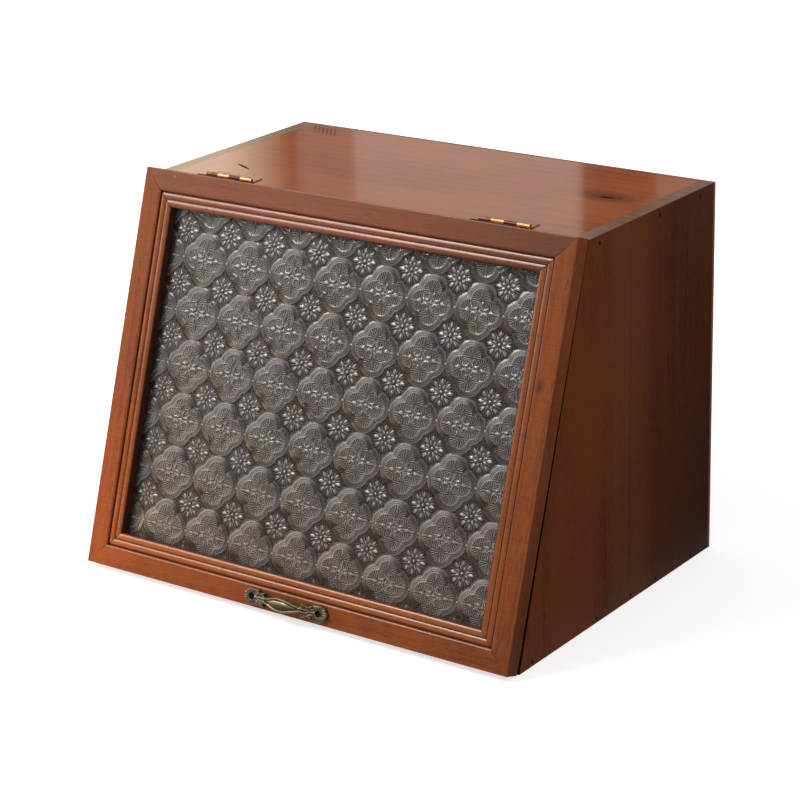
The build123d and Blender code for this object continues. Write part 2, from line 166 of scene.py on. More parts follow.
# Reflection cards: upright sheets square to a heading from the object, at a distance, from
# one sideways place to another and between two heights, with a brightness and a colour.
CARDS = {
    "dark_back": ((-0.583, 0.812), 2.6, -1.1, 1.6, 0.1, 2.4, 0.1, (1.0, 0.9, 0.85)),
    "window_left": ((-0.583, 0.812), 2.2, -0.75, -0.17, 0.25, 1.9, 2.5, (1.0, 0.95, 0.74)),
    "wall_left": ((-0.583, 0.812), 2.25, -0.165, -0.06, 0.25, 1.9, 0.5, (1.0, 0.95, 0.9)),
    "wall_main": ((-0.583, 0.812), 2.2, -0.07, 0.303, 0.25, 1.9, 0.98, (1.0, 0.98, 0.9)),
    "wall_right": ((-0.583, 0.812), 2.25, 0.43, 0.8, 0.25, 1.9, 0.45, (1.0, 0.95, 0.95)),
    "dark_front": ((-0.57, -0.82), 1.9, -2.4, 2.4, 0.0, 1.0, 0.1, (1.0, 0.95, 0.9)),
    "pale_front": ((-0.57, -0.82), 1.85, 0.05, 0.6, 0.3, 0.95, 0.7, (1.0, 0.95, 0.93)),
    "window_high": ((-0.57, -0.82), 1.9, -0.1, 2.2, 1.0, 3.6, 6.5, (1.0, 0.96, 0.94)),
    "window_side": ((-1.0, -0.05), 1.6, -0.9, 0.7, 0.25, 2.4, 2.5, (1.0, 0.97, 0.92)),
}
CURTAIN_FADE = (-0.287, -0.177)  # sideways, where the left window's curtained side fades out
CURTAIN_GLOW = 0.15

for name, (heading, away, from_side, to_side, low, high, strength, colour) in CARDS.items():
    paint, tree, shader = glowing_paint(f"{name}_paint", colour, strength)
    ahead = Vector((*heading, 0)).normalized()
    aside = Vector((ahead.y, -ahead.x, 0))
    middle = ahead * away
    corners = [middle + aside * s + Vector((0, 0, z))
               for s, z in ((from_side, low), (to_side, low), (to_side, high), (from_side, high))]
    only_reflected(flat_sheet(name, corners, paint))
    if name == "window_left":
        sideways = node(tree, "ShaderNodeVectorMath", {0: object_place(tree), 1: aside},
                        operation="DOT_PRODUCT").outputs["Value"]
        fade = ramp(tree, sideways, *CURTAIN_FADE, strength, CURTAIN_GLOW)
        fill(tree, shader, {"Emission Strength": fade})

# The table that the gloss sees in front and to the right, just over the floor.
TABLE_HEIGHT = 0.0005
TABLE_CORNERS = [(-2.0, -2.0), (2.0, -2.0), (2.0, 1.5), (0.215, 1.5), (0.215, -0.175), (-2.0, -0.175)]

dark_table = glowing_paint("dark_table_paint", (1.0, 0.9, 0.8), 0.2)[0]
only_reflected(flat_sheet("dark_table", [(x, y, TABLE_HEIGHT) for x, y in TABLE_CORNERS], dark_table))

ROOM_LEVEL = 0.42          # light from all round on the object
ROOM_SEEN = 1.0            # what the camera, gloss and glass see of the room

world = bpy.data.worlds.new("studio_room")
scene.world = world
world.use_nodes = True
room = world.node_tree
level = ramp(room, seen_rays(room), 0.0, 1.0, ROOM_LEVEL, ROOM_SEEN)
fill(room, room.nodes["Background"], {"Color": (1, 1, 1, 1), "Strength": level})

CAMERA_PLACE = (1.14035, -1.58961, 0.82991)
CAMERA_TURN = (70.382, 1.366, 35.254)
CAMERA_LENS = 117.3        # on a 36 mm sensor

camera_data = bpy.data.cameras.new("studio_camera")
camera_data.lens = CAMERA_LENS
camera = bpy.data.objects.new("studio_camera", camera_data)
camera.location = CAMERA_PLACE
camera.rotation_euler = [radians(a) for a in CAMERA_TURN]
scene.collection.objects.link(camera)
scene.camera = camera

# ---- Case boards -------------------------------------------------------------------------
# Sides, top and bottom of stained softwood, 12 mm and 8 mm thick. Glued up from planks,
# sawn, sanded, stained red-brown and varnished; the sides' end grain shows on top.


def finish_nodes(made, *names):
    """Gives CAD nodes their material in every slot."""
    for name in names:
        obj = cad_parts[name]
        if not obj.material_slots:
            obj.data.materials.append(made)
        for held in obj.material_slots:
            held.material = made


def group_tree(name, kind, inputs, outputs):
    """A node group with its named sockets, and what it is given and gives."""
    tree = bpy.data.node_groups.new(name, kind)
    for in_out, sockets in (("INPUT", inputs), ("OUTPUT", outputs)):
        for label, holds in sockets.items():
            tree.interface.new_socket(label, in_out=in_out, socket_type=f"NodeSocket{holds}")
    return tree, tree.nodes.new("NodeGroupInput").outputs, tree.nodes.new("NodeGroupOutput").inputs


def vector_maths(tree, operation, first, second):
    return node(tree, "ShaderNodeVectorMath", {0: first, 1: second}, operation=operation).outputs[0]


def scaled(tree, vector, factors):
    return vector_maths(tree, "MULTIPLY", vector, factors)


def axes_of(tree, vector):
    """A vector's X, Y and Z."""
    return node(tree, "ShaderNodeSeparateXYZ", {0: vector}).outputs


def gap(tree, value, middle):
    """How far a value is from a middle, on either side."""
    return maths(tree, "ABSOLUTE", maths(tree, "SUBTRACT", value, middle))


def noise(tree, vector, scale=1.0, detail=2.0, roughness=0.5, output="Fac"):
    made = node(tree, "ShaderNodeTexNoise", {"Vector": vector, "Scale": scale, "Detail": detail,
                                             "Roughness": roughness})
    return made.outputs[output]


def mix(tree, factor, first, second):
    """A colour between two."""
    return node(tree, "ShaderNodeMix", {0: factor, 6: first, 7: second}, data_type="RGBA").outputs[2]


def bumped(tree, height, distance):
    """The normal of a surface with a fine relief."""
    made = node(tree, "ShaderNodeBump", {"Height": height, "Distance": distance, "Strength": 1.0})
    return made.outputs["Normal"]


# The grain of stained wood. Vector is in metres with X along the fibres.
grain, given, gives = group_tree(
    "stained_grain", "ShaderNodeTree",
    {"Vector": "Vector", "Early Wood": "Color", "Late Wood": "Color", "Ring Spacing": "Float",
     "Ring Strength": "Float", "Fibre Strength": "Float", "Blotch": "Float"},
    {"Color": "Color", "Height": "Float", "Roughness": "Float"})
along = scaled(grain, given["Vector"], (2.2, 14.0, 14.0))
warp = noise(grain, along, detail=3.0, output="Color")
warped = vector_maths(grain, "ADD", given["Vector"], scaled(grain, warp, (0.0, 0.03, 0.03)))
distance = length_of(grain, scaled(grain, warped, (0.0, 1.0, 1.0)))
phase = maths(grain, "FRACT", maths(grain, "DIVIDE", distance, given["Ring Spacing"]))
late = maths(grain, "POWER", phase, 3.0)
fibres = noise(grain, scaled(grain, given["Vector"], (130.0, 950.0, 950.0)), detail=1.0)
streaks = noise(grain, scaled(grain, given["Vector"], (5.0, 260.0, 260.0)), detail=4.0, roughness=0.65)
cloud = noise(grain, scaled(grain, given["Vector"], (7.0, 16.0, 16.0)), detail=3.0, roughness=0.55)
pore_noise = noise(grain, scaled(grain, given["Vector"], (60.0, 2200.0, 2200.0)), detail=1.0)
pores = ramp(grain, pore_noise, 0.62, 0.75)
ring_share = times(grain, late, given["Ring Strength"])
fibre_share = maths(grain, "ADD", ramp(grain, fibres, 0.3, 0.7, -0.8, 0.8),
                    ramp(grain, streaks, 0.3, 0.7, -0.5, 0.5))
fibre_share = times(grain, fibre_share, given["Fibre Strength"])
blotch_share = times(grain, ramp(grain, cloud, 0.3, 0.7, -1.0, 1.0), given["Blotch"])
share = maths(grain, "ADD", maths(grain, "ADD", ring_share, fibre_share), blotch_share)
share = maths(grain, "ADD", share, times(grain, pores, 0.3), clamp=True)
grain.links.new(mix(grain, share, given["Early Wood"], given["Late Wood"]), gives["Color"])
height = maths(grain, "SUBTRACT", times(grain, fibres, 0.6), times(grain, pores, 0.6))
grain.links.new(height, gives["Height"])
grain.links.new(ramp(grain, fibres, 0.2, 0.8, -0.05, 0.05), gives["Roughness"])


def wood(name, early, late_wood, offset, ring_spacing, specular, upright=False, lean=0.0,
         ring_strength=0.45, fibre_strength=0.4, blotch=0.3, roughness=0.35, coat=0.0,
         coat_roughness=0.1, bump=0.00012):
    """A stained wood whose fibres run along X, or upright; lean turns them with the door."""
    made, tree, shader = material(name)
    spot = object_place(tree)
    level_with = node(tree, "ShaderNodeMapping", {"Vector": spot, "Rotation": (lean, 0, 0)})
    turn = (0, radians(90) if upright else 0, 0)
    along_grain = node(tree, "ShaderNodeMapping", {"Vector": level_with.outputs[0], "Location": offset,
                                                   "Rotation": turn})
    look = node(tree, "ShaderNodeGroup", {
        "Vector": along_grain.outputs[0], "Early Wood": (*early, 1), "Late Wood": (*late_wood, 1),
        "Ring Spacing": ring_spacing, "Ring Strength": ring_strength,
        "Fibre Strength": fibre_strength, "Blotch": blotch}, node_tree=grain).outputs
    fill(tree, shader, {
        "Base Color": look["Color"], "Roughness": maths(tree, "ADD", look["Roughness"], roughness),
        "Specular IOR Level": specular, "Coat Weight": coat, "Coat Roughness": coat_roughness,
        "Normal": bumped(tree, look["Height"], bump)})
    return made, tree, shader, spot


def repaint(tree, shader, mask, colour):
    """Lays a colour over the base colour where the mask says."""
    under = shader.inputs["Base Color"].links[0].from_socket
    tree.links.new(mix(tree, mask, under, (*colour, 1)), shader.inputs["Base Color"])


def spindle(tree, spot, centre, half_size, turn=(0, 0, 0)):
    """A soft mask round a point: 1 at the centre, 0 from half_size outwards."""
    local = node(tree, "ShaderNodeMapping", {"Vector": spot, "Location": centre, "Rotation": turn,
                                             "Scale": half_size}, vector_type="TEXTURE").outputs[0]
    return ramp(tree, length_of(tree, local), 1.0, 0.0)


SIDE_FACE = 0.2            # X of the right side's outer face
PLANK_JOINT = 0.0095       # Y of the pale glue line between two planks
OLIVE_PLANK = 0.013        # Y of the middle of the greener plank
# Each fade runs from where a tone starts to where it is full.
JOINT_FADE = (0.0012, 0.0002)  # away from the glue line
OLIVE_FADE = (0.034, 0.022)    # away from the plank's middle
DARK_PLANK = (0.036, 0.048)    # Y, towards the darker plank at the back
# Marks in the right side: centre, half size and tilt in degrees.
SIDE_MARKS = [
    ((SIDE_FACE, 0.072, 0.178), (0.05, 0.0011, 0.037), 3),
    ((SIDE_FACE, 0.058, 0.127), (0.05, 0.003, 0.001), 0),
    ((SIDE_FACE, 0.036, 0.2), (0.05, 0.0012, 0.005), 5),
    ((SIDE_FACE, 0.095, 0.171), (0.05, 0.0012, 0.006), -8),
    ((SIDE_FACE, 0.09, 0.135), (0.05, 0.001, 0.004), 10),
]
# The brads' heights, with the Y of each brad in that row.
BRAD_ROWS = {0.3: (-0.0305, 0.0565, 0.1185), 0.004: (-0.125, -0.0345, 0.017, 0.055, 0.1115)}
BRAD_STAIN = (0.5, 0.0022, 0.0026)  # half size; it reaches through both sides

side_wood, tree, shader, spot = wood(
    "side_wood", (0.145, 0.034, 0.008), (0.047, 0.011, 0.004), offset=(0.0, 0.05, 0.12), upright=True,
    ring_spacing=0.02, ring_strength=0.25, fibre_strength=0.45, blotch=0.4, roughness=0.5, specular=0.04,
    coat_roughness=0.18)
axes = axes_of(tree, spot)
joint_line = ramp(tree, gap(tree, axes["Y"], PLANK_JOINT), *JOINT_FADE)
olive = ramp(tree, gap(tree, axes["Y"], OLIVE_PLANK), *OLIVE_FADE, 0.0, 0.4)
repaint(tree, shader, olive, (0.14, 0.05, 0.012))
repaint(tree, shader, times(tree, joint_line, 0.4), (0.2, 0.075, 0.02))
for centre, half_size, tilt in SIDE_MARKS:
    mark = spindle(tree, spot, centre, half_size, (radians(tilt), 0, 0))
    repaint(tree, shader, times(tree, mark, 1.2, clamp=True), (0.03, 0.01, 0.006))
facing = axes_of(tree, node(tree, "ShaderNodeTexCoord").outputs["Normal"])
end_grain = ramp(tree, facing["Z"], 0.5, 0.8)
saw_marks = noise(tree, scaled(tree, spot, (60.0, 900.0, 1.0)), detail=3.0, roughness=0.7)
end_colour = mix(tree, ramp(tree, saw_marks, 0.35, 0.65), (0.3, 0.125, 0.055, 1), (0.1, 0.036, 0.016, 1))
shade_to_low_back = times(tree, ramp(tree, axes["Y"], -0.02, 0.15), ramp(tree, axes["Z"], 0.3, 0.0, 0.35, 1.0))
repaint(tree, shader, ramp(tree, axes["Y"], *DARK_PLANK, 0.0, 0.25), (0.03, 0.006, 0.003))
# Painted shade: the side darker towards its back and its bottom.
repaint(tree, shader, times(tree, shade_to_low_back, 0.92), (0.02, 0.004, 0.002))
under = shader.inputs["Base Color"].links[0].from_socket
fill(tree, shader, {"Base Color": mix(tree, end_grain, under, end_colour),
                    "Coat Weight": times(tree, end_grain, 0.5)})
stains = 0.0               # round the brads
for z, row in BRAD_ROWS.items():
    for y in row:
        stains = maths(tree, "MAXIMUM", stains, spindle(tree, spot, (SIDE_FACE, y, z), BRAD_STAIN))
repaint(tree, shader, times(tree, stains, 1.6, clamp=True), (0.008, 0.003, 0.002))
sloped_edge_shade = ramp(tree, facing["Y"], -0.7, -0.9)    # painted shade along the sloping edge's outer side, beside the door's dark gap
outer_edge_shade = ramp(tree, maths(tree, "ABSOLUTE", axes["X"]), 0.191, 0.196, 0.4, 1.0)
repaint(tree, shader, times(tree, sloped_edge_shade, outer_edge_shade), (0.006, 0.002, 0.0015))
finish_nodes(side_wood, "side_panel_left", "side_panel_right")

TOP_FACE = 0.306
TOP_COAT = 0.6             # how much varnish, where no crack has let it sink
# Cracks and scuffs in the top: centre, half size, turn in degrees and strength.
TOP_MARKS = [((0.1515, 0.0605, TOP_FACE), (0.008, 0.0022, 0.01), 8, 3.0),
             ((-0.149, -0.005, TOP_FACE), (0.0125, 0.0014, 0.01), -27, 3.0)]
TOP_MARKS += [((0.005 * k - 0.177, 0.128 - 0.0012 * k, TOP_FACE), (0.0013, 0.02, 0.01), 35, 0.6)
              for k in range(6)]

top_wood, tree, shader, spot = wood(
    "top_wood", (0.42, 0.108, 0.036), (0.235, 0.058, 0.021), offset=(0.05, 0.03, -0.28), ring_spacing=0.012,
    ring_strength=0.35, fibre_strength=0.25, blotch=0.4, roughness=0.3, specular=0.0, coat=TOP_COAT,
    coat_roughness=0.08, bump=0.00006)
knot = spindle(tree, spot, (0.1503, 0.0625, TOP_FACE), (0.034, 0.016, 0.03))
rings = maths(tree, "SINE", times(tree, knot, 22.0))
repaint(tree, shader, times(tree, times(tree, knot, rings, clamp=True), 0.8), (0.07, 0.022, 0.01))
repaint(tree, shader, times(tree, knot, 0.8), (0.08, 0.024, 0.01))
cracks = 0.0
for centre, half_size, turn, strength in TOP_MARKS:
    crack = spindle(tree, spot, centre, half_size, (0, 0, radians(turn)))
    cracks = maths(tree, "MAXIMUM", cracks, times(tree, crack, strength, clamp=True))
repaint(tree, shader, cracks, (0.035, 0.01, 0.004))
fill(tree, shader, {"Coat Weight": ramp(tree, cracks, 0.0, 1.0, TOP_COAT, 0.0)})
finish_nodes(top_wood, "top_panel", "bottom_panel")

# ---- Back panel --------------------------------------------------------------------------
# A sheet of 3 mm plywood, thinly stained and left matt, pinned over the back edges.

back_ply = wood("back_ply", (0.20, 0.085, 0.04), (0.11, 0.045, 0.022), offset=(0.1, 0.2, 0.3),
                ring_spacing=0.014, roughness=0.6, specular=0.2)[0]
finish_nodes(back_ply, "back_panel")

# ---- Brads -------------------------------------------------------------------------------
# Thin steel brads in the sides, the back, the door's mitres and the glass stops. They are
# set just under the surface and darkened by the stain round them.

brad_steel, tree, shader = material("brad_steel", {"Metallic": 0.4, "Roughness": 0.7})
rust = noise(tree, scaled(tree, object_place(tree), (900.0, 900.0, 900.0)))
brad_colour = mix(tree, ramp(tree, rust, 0.35, 0.65), (0.02, 0.013, 0.01, 1), (0.01, 0.005, 0.004, 1))
fill(tree, shader, {"Base Color": brad_colour})
finish_nodes(brad_steel, "case_nails_left", "case_nails_right", "back_panel_nails", "door_corner_brads",
             "glass_stop_pins")

# ---- Bumper pads -------------------------------------------------------------------------
# Two small pads of dark soft rubber, stuck to the sloping edges of the sides. The closed
# door rests on them, so it stays off the case.

bumper_rubber, tree, shader = material("bumper_rubber", {"Roughness": 0.45})
speckle = noise(tree, scaled(tree, object_place(tree), (1500.0, 1500.0, 1500.0)))
fill(tree, shader, {"Base Color": mix(tree, speckle, (0.05, 0.032, 0.024, 1), (0.03, 0.018, 0.013, 1))})
finish_nodes(bumper_rubber, "door_bumper_left", "door_bumper_right")

# ---- Door frame --------------------------------------------------------------------------
# Four mitred members in a lighter, orange-brown wood, moulded with two beads round the
# glass, glued and bradded at the corners, stained and varnished.

DOOR_LEAN = radians(18.191)
DOOR_FOOT = Vector((-0.002, -0.145811, 0.000814))  # middle of the back's bottom edge, in metres
UP_DOOR = Vector((0, sin(DOOR_LEAN), cos(DOOR_LEAN)))
OUT_OF_DOOR = Vector((0, -cos(DOOR_LEAN), sin(DOOR_LEAN)))
DOOR_WIDTH, DOOR_HEIGHT, DOOR_THICK = 404.0, 322.0, 15.0  # millimetres
MEMBER_WIDTH, BAND_WIDTH = 29.0, 17.0
QUIRK_LEVEL = 12.4         # out of the door's back, where the beads start
BEADS = [(17.8, 23.15), (23.15, 28.5)]
BEAD_HEIGHT = 1.35
BEAD_STEPS = 10
REBATE_WIDTH = REBATE_DEPTH = 6.0
ARRIS = 0.7                # radius of the softened front edges
BAND_ROUND = 1.5           # radius where the band turns down to the beads
EASE = 0.3                 # the smallest softening of an edge
BACK_REST = 5.0            # keeps the flat back flat beside its eased edge
MEMBER_STEPS = 24          # lengths that a member's run is cut into
MITRE_STEP = 0.35
SHARP_EDGE = radians(38)   # edges that turn more than this stay crisp


def on_door(x, y, z):
    """A door place in millimetres (across, up the door, out of it), in the world's metres."""
    return DOOR_FOOT + (Vector((1, 0, 0)) * x + UP_DOOR * y + OUT_OF_DOOR * z) / 1000


def new_piece(name, verts, faces):
    """A smooth-shaded mesh in the scene."""
    mesh = bpy.data.meshes.new(name)
    mesh.from_pydata([tuple(v) for v in verts], [], faces)
    mesh.polygons.foreach_set("use_smooth", [True] * len(mesh.polygons))
    obj = bpy.data.objects.new(name, mesh)
    scene.collection.objects.link(obj)
    return obj


def point_layer(obj, name, values):
    """Gives each point of a piece a number, which its material reads."""
    layer = obj.data.attributes.new(name, "FLOAT", "POINT")
    layer.data.foreach_set("value", values)


def point_value(tree, name):
    """The number that point_layer gave."""
    return node(tree, "ShaderNodeAttribute", attribute_name=name).outputs["Fac"]


def arc_points(centre, radius, start, end, count):
    """Points on an arc, angles in degrees."""
    return [(centre[0] + radius * cos(radians(start + (end - start) * k / count)),
             centre[1] + radius * sin(radians(start + (end - start) * k / count))) for k in range(count + 1)]


def member_section():
    """Section across a member: inwards from the outer edge, and out of the door."""
    rebate = MEMBER_WIDTH - REBATE_WIDTH
    section = [(2 * EASE, 0.0), (EASE, 0.0), (0.0, EASE), (0.0, 2 * EASE), (0.0, DOOR_THICK - ARRIS - EASE)]
    section += arc_points((ARRIS, DOOR_THICK - ARRIS), ARRIS, 180, 90, 4)
    section += [(ARRIS + EASE, DOOR_THICK), (BAND_WIDTH - BAND_ROUND - EASE, DOOR_THICK)]
    section += arc_points((BAND_WIDTH - BAND_ROUND, DOOR_THICK - BAND_ROUND), BAND_ROUND, 90, 0, 6)
    section += [(BAND_WIDTH, QUIRK_LEVEL + 0.5), (BAND_WIDTH, QUIRK_LEVEL)]
    for start, end in BEADS:
        half = (end - start) / 2
        turns = [pi * k / BEAD_STEPS for k in range(BEAD_STEPS + 1)]
        section += [(start + half * (1 - cos(t)), QUIRK_LEVEL + BEAD_HEIGHT * sin(t)) for t in turns]
    section += arc_points((MEMBER_WIDTH - EASE, QUIRK_LEVEL - EASE), EASE, 90, 0, 2)
    section += [(MEMBER_WIDTH, QUIRK_LEVEL - 2 * EASE), (MEMBER_WIDTH, REBATE_DEPTH), (rebate, REBATE_DEPTH),
                (rebate, 0.0), (BACK_REST, 0.0)]
    return section


def stain_and_shade(w, z):
    """How dark the stain and the painted shade are: 0 on the crests and flats, 1 in the quirks, inside and
    behind; the back and the outer edge get painted shade.
    """
    if z < 0.1:
        return 0.9 if w < 1 else 0.25
    if w < BAND_WIDTH - 0.1 or (z < REBATE_DEPTH + 0.1 and w < MEMBER_WIDTH):
        return 0.15 if w < 0.05 else 0.0
    return min(1.0, max(0.0, (QUIRK_LEVEL + BEAD_HEIGHT - z) / BEAD_HEIGHT)) ** 1.5


def gloss(w, z):
    """How well the varnish shines: full on the beads, less on the sanded band, none on the outer edge."""
    if w < 0.05 and z < DOOR_THICK - ARRIS:
        return 0.0
    if w > BAND_WIDTH - 0.1:
        return 1 - 0.9 * stain_and_shade(w, z)
    return 0.7 if w > BAND_WIDTH - 1.4 else 0.35


SECTION = member_section()
SECTION_MIDDLE = (11.0, 7.5)
MITRE_EASE = 0.96          # the ends shrink a little, so that a fine line shows at the mitres


def member(name, length, place, made, replaced):
    """A mitred member; place turns along, inwards and out into the door's x, y, z."""
    verts = []
    count = len(SECTION)
    steps = [0.0, MITRE_STEP, 2 * MITRE_STEP]
    steps += [length * k / MEMBER_STEPS for k in range(1, MEMBER_STEPS)]
    steps += [length - 2 * MITRE_STEP, length - MITRE_STEP, length]
    for i, step in enumerate(steps):
        ease = MITRE_EASE if i in (0, len(steps) - 1) else 1.0
        for w, z in SECTION:
            w_eased = SECTION_MIDDLE[0] + (w - SECTION_MIDDLE[0]) * ease
            z_eased = SECTION_MIDDLE[1] + (z - SECTION_MIDDLE[1]) * ease
            share = step / length
            along = -length / 2 + w + (length - 2 * w) * share
            verts.append(on_door(*place(along, w_eased, z_eased)))
    faces = []
    for i in range(len(steps) - 1):
        for j in range(count):
            a, b = i * count + j, i * count + (j + 1) % count
            faces.append((a, b, b + count, a + count))
    faces.append(tuple(reversed(range(count))))
    faces.append(tuple(range((len(steps) - 1) * count, len(steps) * count)))
    obj = new_piece(name, verts, faces)
    mesh = obj.data
    form = bmesh.new()
    form.from_mesh(mesh)
    bmesh.ops.recalc_face_normals(form, faces=form.faces)
    for edge in form.edges:
        if len(edge.link_faces) == 2 and edge.calc_face_angle() > SHARP_EDGE:
            edge.smooth = False
    form.to_mesh(mesh)
    form.free()
    point_layer(obj, "stain_and_shade", [stain_and_shade(w, z) for w, z in SECTION] * len(steps))
    point_layer(obj, "gloss", [gloss(w, z) for w, z in SECTION] * len(steps))
    mesh.materials.append(made)
    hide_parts(replaced)
    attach(obj, "door")


def door_wood(name, offset, upright, stain_and_shade_depth, crest_wear_and_highlight, saw_scale, saw_strength):
    """The door's wood: stain_and_shade_depth is how dark the gathered stain and the painted shade are,
    crest_wear_and_highlight how pale the bead crests are, from stain rubbed thin and a painted highlight.
    """
    made, tree, shader, spot = wood(
        name, (0.28, 0.066, 0.014), (0.11, 0.023, 0.006), offset, upright=upright, lean=DOOR_LEAN,
        ring_spacing=0.009, ring_strength=0.3, fibre_strength=0.3, specular=0.2,
        coat_roughness=0.17, bump=0.00025)
    # Painted shade in the quirks, beside the glass, behind and on the outer edge, together with stain
    # gathered there.
    repaint(tree, shader, times(tree, point_value(tree, "stain_and_shade"), stain_and_shade_depth), (0.03, 0.008, 0.003))
    shine = point_value(tree, "gloss")
    fill(tree, shader, {"Specular Tint": (1.0, 0.65, 0.4, 1), "Coat Weight": shine,
                        "Roughness": ramp(tree, shine, 0.0, 1.0, 0.7, 0.3)})
    # The bead crests paler: stain rubbed thin there, and a painted highlight.
    repaint(tree, shader, ramp(tree, shine, 0.75, 1.0, 0.0, crest_wear_and_highlight), (0.5, 0.15, 0.035))
    leaning = node(tree, "ShaderNodeMapping", {"Vector": spot, "Rotation": (DOOR_LEAN, 0, 0)}).outputs[0]
    saw = noise(tree, scaled(tree, leaning, saw_scale))
    repaint(tree, shader, ramp(tree, saw, 0.5, 0.7, 0.0, saw_strength), (0.09, 0.02, 0.006))
    axes = axes_of(tree, spot)
    # Painted shade: the door's outer edge darker towards the bottom.
    outer_edge_shade = times(tree, ramp(tree, shine, 0.15, 0.05), ramp(tree, axes["Z"], 0.3, 0.0, 0.0, 0.6))
    repaint(tree, shader, outer_edge_shade, (0.03, 0.008, 0.003))
    return made, tree, shader, spot, axes


SMUDGE = on_door(190, 211, DOOR_THICK)      # a dark smear on the right stile
FILLER = on_door(-172.5, 317.5, DOOR_THICK)  # pale filler in the top rail's left end
RAIL_SHEEN_HEIGHTS = (0.25, 0.27)    # heights between which the painted sheen on the upper rail starts, a greyer tone
RAIL_SHADE_ACROSS = (0.02, 0.16)  # places across, towards the painted shade at its right end

rail_wood, tree, shader, spot, axes = door_wood(
    "door_rail_wood", (0.3, 0.01, -0.03), False, 0.75, 0.45, (900, 25, 25), 0.2)
# Painted sheen: the upper rail greyer and pinker.
upper = ramp(tree, axes["Z"], *RAIL_SHEEN_HEIGHTS)
repaint(tree, shader, times(tree, upper, 0.5), (0.21, 0.08, 0.06))
# Painted shade: the upper rail darker towards its right end.
right_end_shade = times(tree, ramp(tree, axes["X"], *RAIL_SHADE_ACROSS, 0.0, 0.45), upper)
repaint(tree, shader, right_end_shade, (0.07, 0.018, 0.007))
filler = spindle(tree, spot, FILLER, (0.0016, 0.01, 0.0012))
repaint(tree, shader, times(tree, filler, 1.5, clamp=True), (0.36, 0.2, 0.14))

stile_wood, tree, shader, spot, axes = door_wood(
    "door_stile_wood", (0.3, 0.05, -0.13), True, 0.95, 0.25, (25, 25, 900), 0.3)
smudge = spindle(tree, spot, SMUDGE, (0.005, 0.05, 0.009), (0, radians(12), 0))
repaint(tree, shader, times(tree, smudge, 0.8), (0.07, 0.016, 0.005))

member("door_rail_top_moulding", DOOR_WIDTH, lambda a, w, z: (a, DOOR_HEIGHT - w, z), rail_wood,
       "door_rail_top")
member("door_rail_bottom_moulding", DOOR_WIDTH, lambda a, w, z: (a, w, z), rail_wood, "door_rail_bottom")
member("door_stile_left_moulding", DOOR_HEIGHT, lambda a, w, z: (w - DOOR_WIDTH / 2, a + DOOR_HEIGHT / 2, z),
       stile_wood, "door_stile_left")
member("door_stile_right_moulding", DOOR_HEIGHT, lambda a, w, z: (DOOR_WIDTH / 2 - w, a + DOOR_HEIGHT / 2, z),
       stile_wood, "door_stile_right")

# ---- Glass pane --------------------------------------------------------------------------
# One pane of clear 3 mm figured glass, rolled with a traditional relief on its front: rows
# of quatrefoil medallions that touch at their tips, with a daisy between every four.

PANE = (357.0, 275.0)      # millimetres, over all
OPENING = (346.0, 264.0)   # inside the frame
PANE_FRONT, PANE_BACK = 6.0, 3.0
TILE, TILE_UP = 43.35, 42.7  # from medallion to medallion, across and up the door
FIRST_MEDALLION = (65.2, 65.9)  # from the door's left and top edges
LOBE_OUT, LOBE_RADIUS = 9.0, 12.4
# Ridges that follow the medallion's outline: distance inside it, half width, height.
RIDGES = [(-0.4, 0.8, 0.5), (-2.1, 0.6, 0.3), (-3.8, 0.75, 0.4)]
FIELD_EDGE, FIELD_RISE = -4.5, 0.15
SCROLL_OUT, SCROLL_RADIUS, SCROLL_HALF_SPAN = 4.4, 3.1, radians(115)
SCROLL_HALF_WIDTH, SCROLL_RISE = 0.75, 0.7
# Almond drops: centre distance, half length, half width, height, whiteness, which is a painted highlight.
AXIS_DROP = (10.6, 2.9, 1.3, 0.6, 1.0)
UPRIGHT_DROP = (10.6, 3.1, 0.9, 0.5, 0.05)
JUNCTION_DROP = (TILE / 2, 1.9, 1.25, 0.6, 1.0)
PETAL_OUTER = (8.0, 2.6, 1.2, 0.6, 1.0)
PETAL_INNER = (4.4, 2.1, 0.7, 0.6, 0.8)
BOSS = (0.0, 1.3, 1.3, 0.7, 0.7)
SHADE_LINE_WIDTH = 0.9                 # width of the painted shade line beside each raised figure
GROUND_LEVEL = 5.4         # the sunk ground, out of the door's back
SMALL_GAP, COARSE_GAP = 0.33, 0.95  # points closer than this to another are dropped
COARSE_STEP, COARSE_ROW = 2.0, 1.75
OUTLINE_POINTS = 80
COLUMNS, ROWS = 9, 7       # tiles that cover the pane, which is cut out of them
WELD_DISTANCE, CUT_DISTANCE = 0.00005, 1e-7  # metres
EDGE_WHITENESS = 0.25      # of the pane's cut edges
LEFT_SHADE, TOP_SHADE = 6, 4  # how far the frame's shade reaches over the glass


def outline_distance(x, y):
    """How far a point is outside the quatrefoil's outline."""
    far, near = max(abs(x), abs(y)), min(abs(x), abs(y))
    return hypot(far - LOBE_OUT, near) - LOBE_RADIUS


def outline_point(angle, offset):
    """The point in that direction whose outline_distance is offset."""
    turn = (angle + pi / 4) % (pi / 2) - pi / 4
    reach = LOBE_OUT * cos(turn) + sqrt((LOBE_RADIUS + offset) ** 2 - (LOBE_OUT * sin(turn)) ** 2)
    return reach * cos(angle), reach * sin(angle)


def swell(share):
    """A rounded hump: 1 in the middle, 0 at share 1 and beyond."""
    return max(0.0, 1 - share * share)


